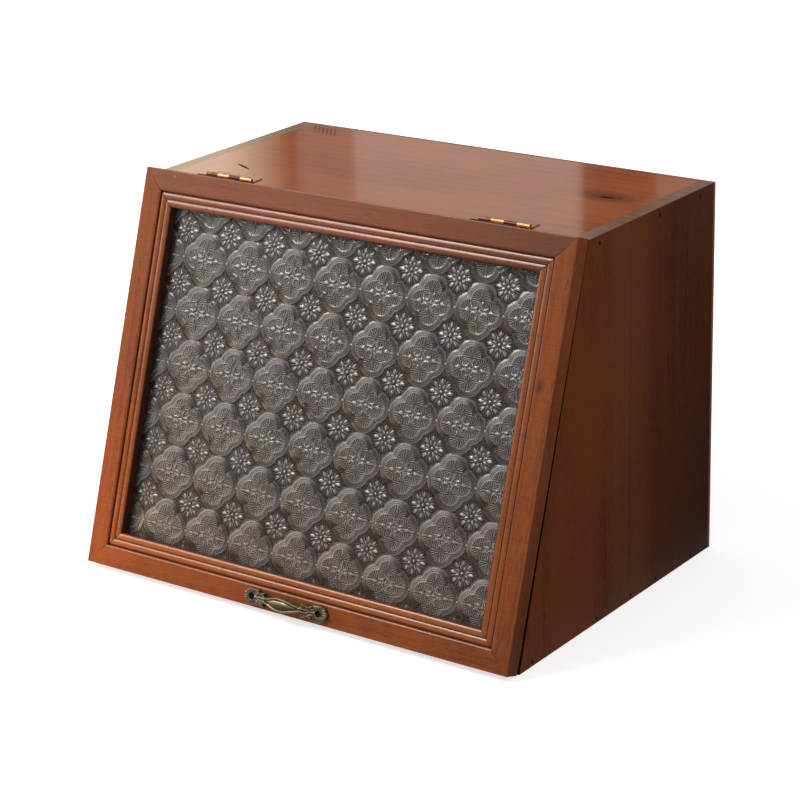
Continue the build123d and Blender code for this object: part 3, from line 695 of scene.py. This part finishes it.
def drop_places():
    """Every almond that touches the tile: centre x, y, direction and shape."""
    quarter = [k * pi / 2 for k in range(4)]
    places = [(0.0, 0.0, 0.0, BOSS)]
    for k, angle in enumerate(quarter):
        for shape in ((UPRIGHT_DROP,) if k % 2 else (AXIS_DROP, JUNCTION_DROP)):
            places.append((shape[0] * cos(angle), shape[0] * sin(angle), angle, shape))
        cx = TILE / 2 * (1 if cos(angle + pi / 4) > 0 else -1)
        cy = TILE / 2 * (1 if sin(angle + pi / 4) > 0 else -1)
        places.append((cx, cy, 0.0, BOSS))
        for k in range(8):
            for shape, shift in ((PETAL_OUTER, 0.0), (PETAL_INNER, pi / 8)):
                turn = k * pi / 4 + shift
                places.append((cx + shape[0] * cos(turn), cy + shape[0] * sin(turn), turn, shape))
    return places


DROPS = drop_places()
SCROLLS = [(sx * SCROLL_OUT, sy * SCROLL_OUT, atan2(-sy, -sx)) for sx in (-1, 1) for sy in (-1, 1)]


def relief(x, y):
    """Height of the pattern over the sunk ground of the glass."""
    away = outline_distance(x, y)
    height = sum(rise * swell((away - at) / half) for at, half, rise in RIDGES) if hypot(x, y) > 4 else 0.0
    if away < FIELD_EDGE:
        height += FIELD_RISE
    for cx, cy, facing in SCROLLS:
        turn = (atan2(y - cy, x - cx) - facing + pi) % (2 * pi) - pi
        if abs(turn) < SCROLL_HALF_SPAN:
            off = (hypot(x - cx, y - cy) - SCROLL_RADIUS) / SCROLL_HALF_WIDTH
            height = max(height, SCROLL_RISE * swell(off))
    for cx, cy, angle, (_, half_long, half_wide, rise, _) in DROPS:
        height = max(height, rise * swell(along_drop(x - cx, y - cy, angle, half_long, half_wide)))
    return height


def along_drop(dx, dy, angle, half_long, half_wide):
    """0 in the middle of an almond and 1 on its edge."""
    lengthways = dx * cos(angle) + dy * sin(angle)
    sideways = dy * cos(angle) - dx * sin(angle)
    return hypot(lengthways / half_long, sideways / half_wide)


def frost_and_painted_light(x, y):
    """How pale the glass looks there: the medallions' fields a little frosted, the rest painted light.

    Raised figures get a painted highlight, with a painted shade line beside them; two of a medallion's rim
    flanks get a painted highlight, the others stay dark.
    """
    away = outline_distance(x, y)
    lit_flank = 0.5 - 0.5 * sin(2 * atan2(y, x))
    value = 0.1
    if away < FIELD_EDGE:
        value = 0.2 + 0.14 * lit_flank
    elif away < RIDGES[0][0] + RIDGES[0][1]:
        value = 0.02 + (0.1 + 1.0 * lit_flank) * max(swell((away - at) / half) for at, half, _ in RIDGES)
    elif away < 1.2 + 0.8 * (1 - lit_flank):
        value = 0.13 * lit_flank
    painted_glint, shade_line = 0.0, 1.0
    for cx, cy, facing in SCROLLS:
        turn = (atan2(y - cy, x - cx) - facing + pi) % (2 * pi) - pi
        if abs(turn) < SCROLL_HALF_SPAN:
            off = abs(hypot(x - cx, y - cy) - SCROLL_RADIUS)
            painted_glint = max(painted_glint, 0.8 * swell(off / SCROLL_HALF_WIDTH))
            shade_line = min(shade_line, max(0.0, off - SCROLL_HALF_WIDTH) / SHADE_LINE_WIDTH)
    for cx, cy, angle, (_, half_long, half_wide, _, white) in DROPS:
        share = along_drop(x - cx, y - cy, angle, half_long, half_wide)
        painted_glint = max(painted_glint, white * swell(share) ** 0.5)
        shade_line = min(shade_line, max(0.0, share - 1) * half_wide / SHADE_LINE_WIDTH)
    return max(painted_glint, value * min(1.0, shade_line))


def tile_points():
    """Points of one tile, closest where the relief is fine, with its edges matched."""
    half = TILE / 2
    rows = [0.0, 0.6, 1.2, 1.9, 3.2, 5.0, 7.0, 9.0, 10.8, 12.1]
    rows += [half - v for v in (8.0, 7.2, 6.5, 5.2, 4.2, 3.2, 2.3, 1.3, 0.6, 0.0)]
    rows = sorted({round(v, 4) for v in rows} | {-round(v, 4) for v in rows})
    border = [(s * half, v) for s in (-1, 1) for v in rows] + [(v, s * half) for s in (-1, 1) for v in rows]
    fine = []
    for cx, cy, angle, (_, half_long, half_wide, _, _) in DROPS:
        for share, count in ((0.0, 1), (0.55, 6), (1.0, 10), (1.5, 10)):
            for k in range(count):
                turn = 2 * pi * k / count
                a, b = share * half_long * cos(turn), share * half_wide * sin(turn)
                fine.append((cx + a * cos(angle) - b * sin(angle), cy + a * sin(angle) + b * cos(angle)))
    for cx, cy, facing in SCROLLS:
        for k in range(11):
            turn = facing + SCROLL_HALF_SPAN * (k / 5 - 1)
            for reach in (0.0, -SCROLL_HALF_WIDTH, SCROLL_HALF_WIDTH):
                reach += SCROLL_RADIUS
                fine.append((cx + reach * cos(turn), cy + reach * sin(turn)))
    offsets = {at for at, _, _ in RIDGES} | {at - width for at, width, _ in RIDGES}
    offsets |= {RIDGES[0][0] + RIDGES[0][1], RIDGES[1][0] + RIDGES[1][1]}
    angles = [2 * pi * (k + 0.5) / OUTLINE_POINTS for k in range(OUTLINE_POINTS)]
    for offset in sorted(offsets):
        fine += [outline_point(angle, offset) for angle in angles]
    coarse = [((i + 0.5 * (j % 2)) * COARSE_STEP, j * COARSE_ROW)
              for i in range(-12, 13) for j in range(-13, 14)]
    kept, cells = [], {}
    for points, apart, inner in ((border, 1e-4, half), (fine, SMALL_GAP, half - SMALL_GAP),
                                 (coarse, COARSE_GAP, half - 0.8)):
        for x, y in points:
            if max(abs(x), abs(y)) > inner:
                continue
            column, row = int(x // 1), int(y // 1)
            near = [p for i in (-1, 0, 1) for j in (-1, 0, 1) for p in cells.get((column + i, row + j), ())]
            if all(hypot(x - p[0], y - p[1]) >= apart for p in near):
                cells.setdefault((column, row), []).append((x, y))
                kept.append((x, y))
    return kept


flat_points = [Vector(p) for p in tile_points()]
tile_flat, _, tile_faces = delaunay_2d_cdt(flat_points, [], [], 0, 1e-5)[:3]
tile_verts = [(x / 1000, y / 1000 * TILE_UP / TILE, relief(x, y) / 1000) for x, y in tile_flat]
pane = new_piece("figured_glass_pane", tile_verts, [tuple(f) for f in tile_faces])
point_layer(pane, "figure", [frost_and_painted_light(x, y) for x, y in tile_flat])


def apply_group(obj, tree, values):
    """Runs a Geometry Nodes tree on an object and keeps the result as its plain mesh."""
    modifier = obj.modifiers.new(tree.name, "NODES")
    modifier.node_group = tree
    for item in tree.interface.items_tree:
        if item.in_out == "INPUT" and item.name in values:
            modifier[item.identifier] = values[item.name]
    bpy.context.view_layer.update()
    evaluated = obj.evaluated_get(bpy.context.evaluated_depsgraph_get())
    result = bpy.data.meshes.new_from_object(evaluated)
    obj.modifiers.remove(modifier)
    result.name = obj.name
    while result.materials and result.materials[0] is None:
        result.materials.pop(index=0)
    obj.data = result


# Lays copies of one tile in a grid, welds them and gives them their glass.
tiling, given, gives = group_tree(
    "glass_tiling", "GeometryNodeTree",
    {"Geometry": "Geometry", "Columns": "Int", "Rows": "Int", "Across": "Float", "Up": "Float",
     "Glass": "Material"}, {"Geometry": "Geometry"})
width = times(tiling, maths(tiling, "SUBTRACT", given["Columns"], 1.0), given["Across"])
depth = times(tiling, maths(tiling, "SUBTRACT", given["Rows"], 1.0), given["Up"])
places = node(tiling, "GeometryNodeMeshGrid", {
    "Size X": width, "Size Y": depth, "Vertices X": given["Columns"],
    "Vertices Y": given["Rows"]}).outputs["Mesh"]
tiles = node(tiling, "GeometryNodeInstanceOnPoints", {"Points": places, "Instance": given["Geometry"]})
whole = node(tiling, "GeometryNodeRealizeInstances", {"Geometry": tiles.outputs["Instances"]})
welded = node(tiling, "GeometryNodeMergeByDistance", {
    "Geometry": whole.outputs[0], "Distance": WELD_DISTANCE})
glazed = node(tiling, "GeometryNodeSetMaterial", {"Geometry": welded.outputs[0], "Material": given["Glass"]})
tiling.links.new(glazed.outputs[0], gives["Geometry"])

# Clear glass, paler where its figures are raised: frost on the medallions' fields, painted highlights on the
# figures and on two flanks of each rim, and painted shade lines beside them;
# fine ribs on the medallions and rays round the daisies. It is shaded by the frame at its left and top edges.
figured_glass, tree, shader = material("figured_glass", {
    "Transmission Weight": 0.8, "Roughness": 0.277, "IOR": 1.2,
    "Coat Weight": 1.0, "Coat Roughness": 0.06, "Coat IOR": 1.7})
on_foot = node(tree, "ShaderNodeMapping", {"Vector": object_place(tree), "Location": [-v for v in DOOR_FOOT]})
flat = node(tree, "ShaderNodeMapping", {
    "Vector": on_foot.outputs[0], "Rotation": (-pi / 2 + DOOR_LEAN, 0, 0),
    "Scale": (1000, 1000, 1000)}).outputs[0]
place = axes_of(tree, flat)  # on the door, in millimetres


def from_middle(value, first, pitch):
    """Distance from the nearest medallion's middle along one axis."""
    turn = maths(tree, "DIVIDE", maths(tree, "SUBTRACT", value, first), pitch)
    beside = maths(tree, "SUBTRACT", turn, maths(tree, "ROUND", turn))
    return maths(tree, "ABSOLUTE", times(tree, beside, TILE))


def flat_length(x, y):
    """The length of a flat place's x and y."""
    return maths(tree, "SQRT", maths(tree, "ADD", times(tree, x, x), times(tree, y, y)))


x_off = from_middle(place["X"], FIRST_MEDALLION[0] - DOOR_WIDTH / 2, TILE)
y_off = from_middle(place["Y"], DOOR_HEIGHT - FIRST_MEDALLION[1], TILE_UP)
far = maths(tree, "SUBTRACT", maths(tree, "MAXIMUM", x_off, y_off), LOBE_OUT)
near = maths(tree, "MINIMUM", x_off, y_off)
reach = flat_length(far, near)
spread = maths(tree, "ARCTAN2", near, far)
field = ramp(tree, reach, LOBE_RADIUS - 4.2, LOBE_RADIUS - 4.7)


def comb(angle, count):
    """Rays round a middle, from -1 to 1."""
    return maths(tree, "SINE", times(tree, angle, count))


fringe = ramp(tree, reach, 4.7, 5.1)
strokes = node(tree, "ShaderNodeMix", {0: fringe, 2: comb(spread, 13.0), 3: comb(spread, 25.0)}).outputs[0]
strokes = times(tree, strokes, field)
x_daisy = maths(tree, "SUBTRACT", x_off, TILE / 2)
y_daisy = maths(tree, "SUBTRACT", y_off, TILE / 2)
from_daisy = flat_length(x_daisy, y_daisy)
ray_ring = times(tree, ramp(tree, from_daisy, 2.0, 3.0), ramp(tree, from_daisy, 10.0, 9.0))
rays = times(tree, comb(maths(tree, "ARCTAN2", y_daisy, x_daisy), 24.0), ray_ring)
strokes = maths(tree, "ADD", strokes, rays)
stipple = noise(tree, flat, 0.9, detail=1.0)
pillow = ramp(tree, reach, LOBE_RADIUS + 1.5, LOBE_RADIUS - 4.0, 0.0, 25.0)
figure = maths(tree, "ADD", pillow, maths(tree, "ADD", strokes, times(tree, stipple, 1.2)))
white = point_value(tree, "figure")
from_medallion = node(tree, "ShaderNodeCombineXYZ", {0: x_off, 1: y_off}).outputs[0]
busy = ramp(tree, length_of(tree, from_medallion), 10.0, 4.0, 0.1, 0.36)
# Paleness of the glass: frost and painted highlights from the points' numbers, with the ribs, rays and specks
# laid over.
frost_and_glints = maths(tree, "ADD", white, times(tree, strokes, ramp(tree, white, 0.3, 0.9, 0.55, 0.0)))
specks = times(tree, ramp(tree, stipple, 0.35, 0.65, -1.0, 1.2), busy)
frost_and_glints = maths(tree, "ADD", frost_and_glints, specks, clamp=True)
fill(tree, shader, {"Base Color": mix(tree, frost_and_glints, (0.045, 0.026, 0.021, 1), (1.0, 0.965, 0.94, 1)),
                    "Normal": bumped(tree, figure, 0.0001)})
left_edge, top_edge = -OPENING[0] / 2, MEMBER_WIDTH + OPENING[1]
out_of_shade = times(tree, ramp(tree, place["X"], left_edge, left_edge + LEFT_SHADE),
                     ramp(tree, place["Y"], top_edge, top_edge - TOP_SHADE))
repaint(tree, shader, maths(tree, "SUBTRACT", 0.85, out_of_shade, clamp=True), (0.015, 0.006, 0.003))
clear = node(tree, "ShaderNodeBsdfTransparent", {"Color": (0.6, 0.62, 0.62, 1)})
lets_light = node(tree, "ShaderNodeMixShader", {
    0: node(tree, "ShaderNodeLightPath").outputs["Is Shadow Ray"], 1: shader.outputs[0], 2: clear.outputs[0]})
tree.links.new(lets_light.outputs[0], tree.nodes["Material Output"].inputs["Surface"])

apply_group(pane, tiling, {"Columns": COLUMNS, "Rows": ROWS, "Across": TILE / 1000, "Up": TILE_UP / 1000,
                           "Glass": figured_glass})
form = bmesh.new()
form.from_mesh(pane.data)
grid_x = FIRST_MEDALLION[0] - DOOR_WIDTH / 2 + TILE * ((COLUMNS - 1) / 2 - 1)
grid_y = DOOR_HEIGHT - FIRST_MEDALLION[1] - TILE_UP * ((ROWS - 1) / 2 - 1)
bmesh.ops.translate(form, verts=form.verts, vec=(grid_x / 1000, grid_y / 1000, GROUND_LEVEL / 1000))
middle = Vector((0, DOOR_HEIGHT / 2000, 0))
for axis, half in ((Vector((1, 0, 0)), PANE[0] / 2000), (Vector((0, 1, 0)), PANE[1] / 2000)):
    for sign in (-1, 1):
        bmesh.ops.bisect_plane(form, geom=form.verts[:] + form.edges[:] + form.faces[:],
                               dist=CUT_DISTANCE, plane_co=middle + axis * half * sign,
                               plane_no=axis * sign, clear_outer=True)
for vert in form.verts:    # under the frame's lip the glass lies flat against the wood
    if max(abs(vert.co.x) - OPENING[0] / 2000, abs(vert.co.y - middle.y) - OPENING[1] / 2000) > 0:
        vert.co.z = min(vert.co.z, PANE_FRONT / 1000)
rim = [e for e in form.edges if e.is_boundary]
skirt = bmesh.ops.extrude_edge_only(form, edges=rim)["geom"]
whitened = form.verts.layers.float["figure"]
for vert in [g for g in skirt if isinstance(g, bmesh.types.BMVert)]:
    vert.co.z = PANE_BACK / 1000
    vert[whitened] = EDGE_WHITENESS
back_rim = [e for e in skirt if isinstance(e, bmesh.types.BMEdge) and e.is_boundary]
bmesh.ops.contextual_create(form, geom=back_rim)
bmesh.ops.recalc_face_normals(form, faces=form.faces)
for face in form.faces:
    face.smooth = face.normal.z > 0.2
for vert in form.verts:
    vert.co = on_door(*(vert.co * 1000))
form.to_mesh(pane.data)
form.free()
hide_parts("door_glass")
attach(pane, "door")

# ---- Glass stops -------------------------------------------------------------------------
# Four thin strips of the frame's wood, pinned in the rebate behind the pane. They hold the
# glass, and their grain runs with the member that they lie on.

finish_nodes(rail_wood, "glass_stop_top", "glass_stop_bottom")
finish_nodes(stile_wood, "glass_stop_left", "glass_stop_right")

# ---- Pull handle -------------------------------------------------------------------------
# One zinc casting in antique bronze finish: a bow with a raised oval panel between two
# ridges, pointed leaves at its waists, and a ribbed shell with scrolls at each end.

HANDLE_UP = 8.5            # its centre line above the door's bottom edge
HOLE_OUT, HOLE_RADIUS = 32.0, 2.75
SHELL = (8.0, 6.9)         # half length and half width
SHELL_RIBS = 20
SHELL_THICK = 3.0
# Edge of the bow from the middle to the shell: the leaf's point turns back to the middle.
BOW_EDGE = [(0, 5.5), (4, 5.3), (8, 4.5), (11.5, 3.4), (14.5, 2.75), (16.8, 2.75), (18.4, 3.5), (16.9, 5.3),
            (19.6, 5.5), (22.0, 4.6), (23.4, 4.1), (24.4, 5.2), (26.0, 6.2), (27.6, 6.1)]
CREST, CREST_RADIUS = 10.5, 59.8
HOLLOW, HOLLOW_RADIUS, HOLLOW_END = 7.0, 41.3, 23.0
PANEL = (11.0, 3.2)        # half length and half width
PANEL_END, WAIST_END, BOW_END = 16, 24, 31  # how far out each part of the bow reaches
SCROLL_START, STEM_END = 23, 29
SCROLL_PLACE = (26.0, 3.8)
RIB_SPAN, RIB_START = radians(115), 3.2  # how far round the shell, and from its hole
EDGE_ROUND = 1.5
LEAST_THICK = 0.9
FALL = 2.718               # how fast a hump falls off
HOLE_POINTS = 28
LOOP_STEP = 0.45           # between points along the edge
FIELD_STEP, FIELD_ROW = 0.5, 0.43  # between points inside it
FIELD_GAP = 0.28           # inner points closer than this to an edge are dropped
UNDERSIDE_POLISH = 0.2


def shell_edge(angle):
    """A point of the shell's scalloped edge, at an angle round its screw hole."""
    reach = 1 / hypot(cos(angle) / SHELL[0], sin(angle) / SHELL[1])
    reach *= 1 - 0.06 * (1 - abs(cos(SHELL_RIBS * angle / 2)))
    return HOLE_OUT + reach * cos(angle), reach * sin(angle)


def rounded_path(points, spacing):
    """The corners' path with points no further apart than spacing."""
    path = []
    for (ax, ay), (bx, by) in zip(points, points[1:]):
        count = max(1, round(hypot(bx - ax, by - ay) / spacing))
        path += [(ax + (bx - ax) * k / count, ay + (by - ay) * k / count) for k in range(count)]
    return path + [points[-1]]


def hump(distance, half):
    """A soft ridge: 1 on its line, and almost 0 at twice its half width."""
    return FALL ** -((distance / half) ** 2)


def casting(x, y, inside):
    """Height of the casting and of its ornament, at a place that is inside its edge by so much."""
    x = abs(x)
    from_hole = hypot(x - HOLE_OUT, y)
    base = SHELL_THICK + 0.6
    if x < BOW_END:
        base = max(base, CREST - CREST_RADIUS + sqrt(CREST_RADIUS ** 2 - x ** 2))
    ornament = 0.0
    if x < PANEL_END:
        ornament += 0.55 * hump(inside - 1.0, 0.6) - 0.5 * hump(inside - 2.0, 0.4)
        ornament += 0.9 * sqrt(max(0.0, 1 - (x / PANEL[0]) ** 2 - (y / PANEL[1]) ** 2))
    elif x < WAIST_END:
        ornament += 0.5 * hump(abs(y) - 1.0, 0.5) - 0.45 * hump(y, 0.4) - 0.4 * hump(abs(y) - 2.2, 0.4)
        ornament += 0.35 * hump(inside - 0.8, 0.4)
    angle = atan2(abs(y), x - HOLE_OUT)
    if x > SCROLL_START:
        dx, dy = x - SCROLL_PLACE[0], abs(y) - SCROLL_PLACE[1]
        ornament += 0.6 * cos(2.7 * hypot(dx, dy) - atan2(dy, dx)) * hump(hypot(dx, dy), 2.6)
        ornament += 0.4 * hump(y, 0.9) * (1 if x < STEM_END else 0)
    if angle < RIB_SPAN and from_hole > RIB_START:
        outwards = min(1.0, (from_hole - RIB_START) / 1.5)
        ornament += outwards * (0.65 * abs(cos(SHELL_RIBS * angle / 2)) - 0.3)
    ornament += 0.12 * hump(from_hole - 3.4, 0.45)
    edge = min(1.0, inside / EDGE_ROUND)
    drop = 1.3 * EDGE_ROUND * (1 - sqrt(1 - (1 - edge) ** 2))
    top = base + ornament * min(1.0, inside / 0.5) - drop
    return max(top, hollow(x) + LEAST_THICK), ornament


def hollow(x):
    """Height of the casting's underside."""
    if abs(x) > HOLLOW_END:
        return 0.0
    return max(0.0, HOLLOW - HOLLOW_RADIUS + sqrt(HOLLOW_RADIUS ** 2 - x ** 2))


quarter = BOW_EDGE + [shell_edge(radians(a)) for a in range(112, -1, -2)]
half_loop = rounded_path(quarter, LOOP_STEP)
loop = half_loop + [(x, -y) for x, y in reversed(half_loop[:-1])]
loop += [(-x, -y) for x, y in half_loop[1:]] + [(-x, y) for x, y in reversed(half_loop[1:-1])]
turns = [2 * pi * k / HOLE_POINTS for k in range(HOLE_POINTS)]
holes = [[(sign * HOLE_OUT + HOLE_RADIUS * cos(t), HOLE_RADIUS * sin(t)) for t in turns] for sign in (-1, 1)]
rims = [loop] + holes
rim_points = [Vector(p) for rim in rims for p in rim]
rim_edges, start = [], 0
for rim in rims:
    rim_edges += [(start + k, start + (k + 1) % len(rim)) for k in range(len(rim))]
    start += len(rim)


def distance_from(points):
    """A function that gives a place's distance from the nearest of the points."""
    tree = KDTree(len(points))
    for i, point in enumerate(points):
        tree.insert((*point, 0), i)
    tree.balance()
    return lambda x, y: tree.find((x, y, 0))[2]


from_rim = distance_from(rim_points)
field_points = [Vector(((i + 0.5 * (j % 2)) * FIELD_STEP, j * FIELD_ROW))
                for i in range(-81, 82) for j in range(-16, 17)]
field_points = [p for p in field_points if from_rim(*p) > FIELD_GAP]
flat, _, flat_faces = delaunay_2d_cdt(rim_points + field_points, rim_edges, [], 1, 1e-5)[:3]


def in_casting(face):
    """Whether a triangle is metal, and not part of a screw hole."""
    cx = sum(flat[i].x for i in face) / 3
    cy = sum(flat[i].y for i in face) / 3
    return hypot(abs(cx) - HOLE_OUT, cy) > HOLE_RADIUS * 0.99


flat_faces = [tuple(f) for f in flat_faces if in_casting(f)]
used = sorted({i for f in flat_faces for i in f})
order = {old: new for new, old in enumerate(used)}
from_edge = distance_from(loop)
upper, polish = [], []
for i in used:
    x, y = flat[i]
    z, ornament = casting(x, y, from_edge(x, y))
    upper.append((x, y, z))
    rubbed = min(1.0, max(0.0, 0.4 + 0.8 * ornament))
    clear_of_screw = min(1.0, max(0.0, (hypot(abs(x) - HOLE_OUT, y) - 1.5) / 1.2))
    polish.append(rubbed * clear_of_screw)
count = len(used)
verts = upper + [(flat[i].x, flat[i].y, hollow(flat[i].x)) for i in used]
faces = [tuple(order[i] for i in f) for f in flat_faces]
faces += [tuple(order[i] + count for i in reversed(f)) for f in flat_faces]
sides = {}                 # keeps the order in which the triangles' sides come
for f in flat_faces:
    for a, b in ((f[0], f[1]), (f[1], f[2]), (f[2], f[0])):
        sides[(a, b)] = None
faces += [(order[b], order[a], order[a] + count, order[b] + count) for a, b in sides if (b, a) not in sides]
handle = new_piece("bow_handle", [on_door(x, HANDLE_UP + y, DOOR_THICK + z) for x, y, z in verts], faces)
point_layer(handle, "polish", polish + [UNDERSIDE_POLISH] * count)

# Metal that is bright where it is rubbed and dark in its hollows.
worn_metal, given, gives = group_tree(
    "worn_metal", "ShaderNodeTree",
    {"Vector": "Vector", "Rubbed": "Float", "Bright": "Color", "Dark": "Color"},
    {"Color": "Color", "Roughness": "Float", "Height": "Float"})
patches = noise(worn_metal, given["Vector"], 350.0, 3.0, 0.6)
grime_and_shade = noise(worn_metal, given["Vector"], 1400.0, 2.0, 0.6)
rubbed = maths(worn_metal, "ADD", given["Rubbed"], ramp(worn_metal, patches, 0.3, 0.7, -0.3, 0.3))
rubbed = maths(worn_metal, "ADD", rubbed, ramp(worn_metal, grime_and_shade, 0.3, 0.7, -0.15, 0.15), clamp=True)
worn_metal.links.new(mix(worn_metal, rubbed, given["Dark"], given["Bright"]), gives["Color"])
worn_metal.links.new(ramp(worn_metal, rubbed, 0.0, 1.0, 0.58, 0.37), gives["Roughness"])
worn_metal.links.new(grime_and_shade, gives["Height"])


def metal(name, bright, dark, rubbed):
    """A worn metal; rubbed is a plain share, or the name of the points' numbers that hold it."""
    made, tree, shader = material(name, {"Metallic": 1.0})
    if isinstance(rubbed, str):
        rubbed = point_value(tree, rubbed)
    look = node(tree, "ShaderNodeGroup", {
        "Vector": object_place(tree), "Rubbed": rubbed, "Bright": (*bright, 1), "Dark": (*dark, 1)},
        node_tree=worn_metal).outputs
    fill(tree, shader, {"Base Color": look["Color"], "Roughness": look["Roughness"],
                        "Normal": bumped(tree, look["Height"], 0.00006)})
    return made, tree, shader


handle_bronze = metal("handle_bronze", (0.25, 0.2, 0.13), (0.028, 0.021, 0.015), "polish")[0]
handle.data.materials.append(handle_bronze)
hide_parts("pull_handle")
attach(handle, "door")
screw_bronze = metal("screw_bronze", (0.06, 0.045, 0.03), (0.01, 0.008, 0.006), 0.2)[0]
finish_nodes(screw_bronze, "handle_screws")

# ---- Hinges ------------------------------------------------------------------------------
# Two small butt hinges of bent steel strip with a copper wash, four knuckles on a pin.
# One leaf lies on the top board and the other on the door's top edge, two screws in each;
# the shade under the barrels is painted dark.

# Heights and places in metres, each from where a tone starts to where it is full.
PLATE_FADE = (0.3075, 0.3071)        # down from the barrel to the flat leaf
DOOR_LEAF_SHADE = (-0.0446, -0.045)   # forwards, to the leaf's front, painted dark as shade under the barrel
# Painted shade under the barrels, down from them and forwards.
SHADE_DOWN, SHADE_FORWARDS = (0.307, 0.3064), (-0.0415, -0.042)
DARK_KNUCKLES = (-0.1274, 0.1316)    # middles of the third knuckles, which are painted darker
KNUCKLE_FADE = (0.006, 0.0055)


def add_barrel_shade(tree, shader, axes):
    """Lays painted shade under the barrels."""
    grime_and_shade = times(tree, ramp(tree, axes["Z"], *SHADE_DOWN), ramp(tree, axes["Y"], *SHADE_FORWARDS))
    repaint(tree, shader, grime_and_shade, (0.012, 0.008, 0.006))


hinge_bright, tree, shader = metal("hinge_copper", (0.75, 0.36, 0.15), (0.16, 0.06, 0.022), 0.55)
axes = axes_of(tree, object_place(tree))
# Painted shade on the door leaf's front under the barrel.
repaint(tree, shader, ramp(tree, axes["Y"], *DOOR_LEAF_SHADE), (0.045, 0.02, 0.012))
add_barrel_shade(tree, shader, axes)

# The case leaves: the same copper painted darker, as painted shade on their knuckles, which sit back.
hinge_shaded, tree, shader = metal("hinge_copper_shaded", (0.26, 0.11, 0.06), (0.05, 0.02, 0.012), 0.45)
axes = axes_of(tree, object_place(tree))
plate = ramp(tree, axes["Z"], *PLATE_FADE)
repaint(tree, shader, plate, (0.26, 0.17, 0.12))
off_plate = maths(tree, "SUBTRACT", 1.0, plate)
for middle_x in DARK_KNUCKLES:
    darker_knuckle = times(tree, ramp(tree, gap(tree, axes["X"], middle_x), *KNUCKLE_FADE), off_plate)
    repaint(tree, shader, darker_knuckle, (0.09, 0.035, 0.024))
add_barrel_shade(tree, shader, axes)

finish_nodes(hinge_bright, "hinge_leaf_door_left", "hinge_leaf_door_right")
finish_nodes(hinge_shaded, "hinge_leaf_case_left", "hinge_leaf_case_right")
finish_nodes(screw_bronze, "hinge_pin_left", "hinge_pin_right", "hinge_screws_case", "hinge_screws_door")
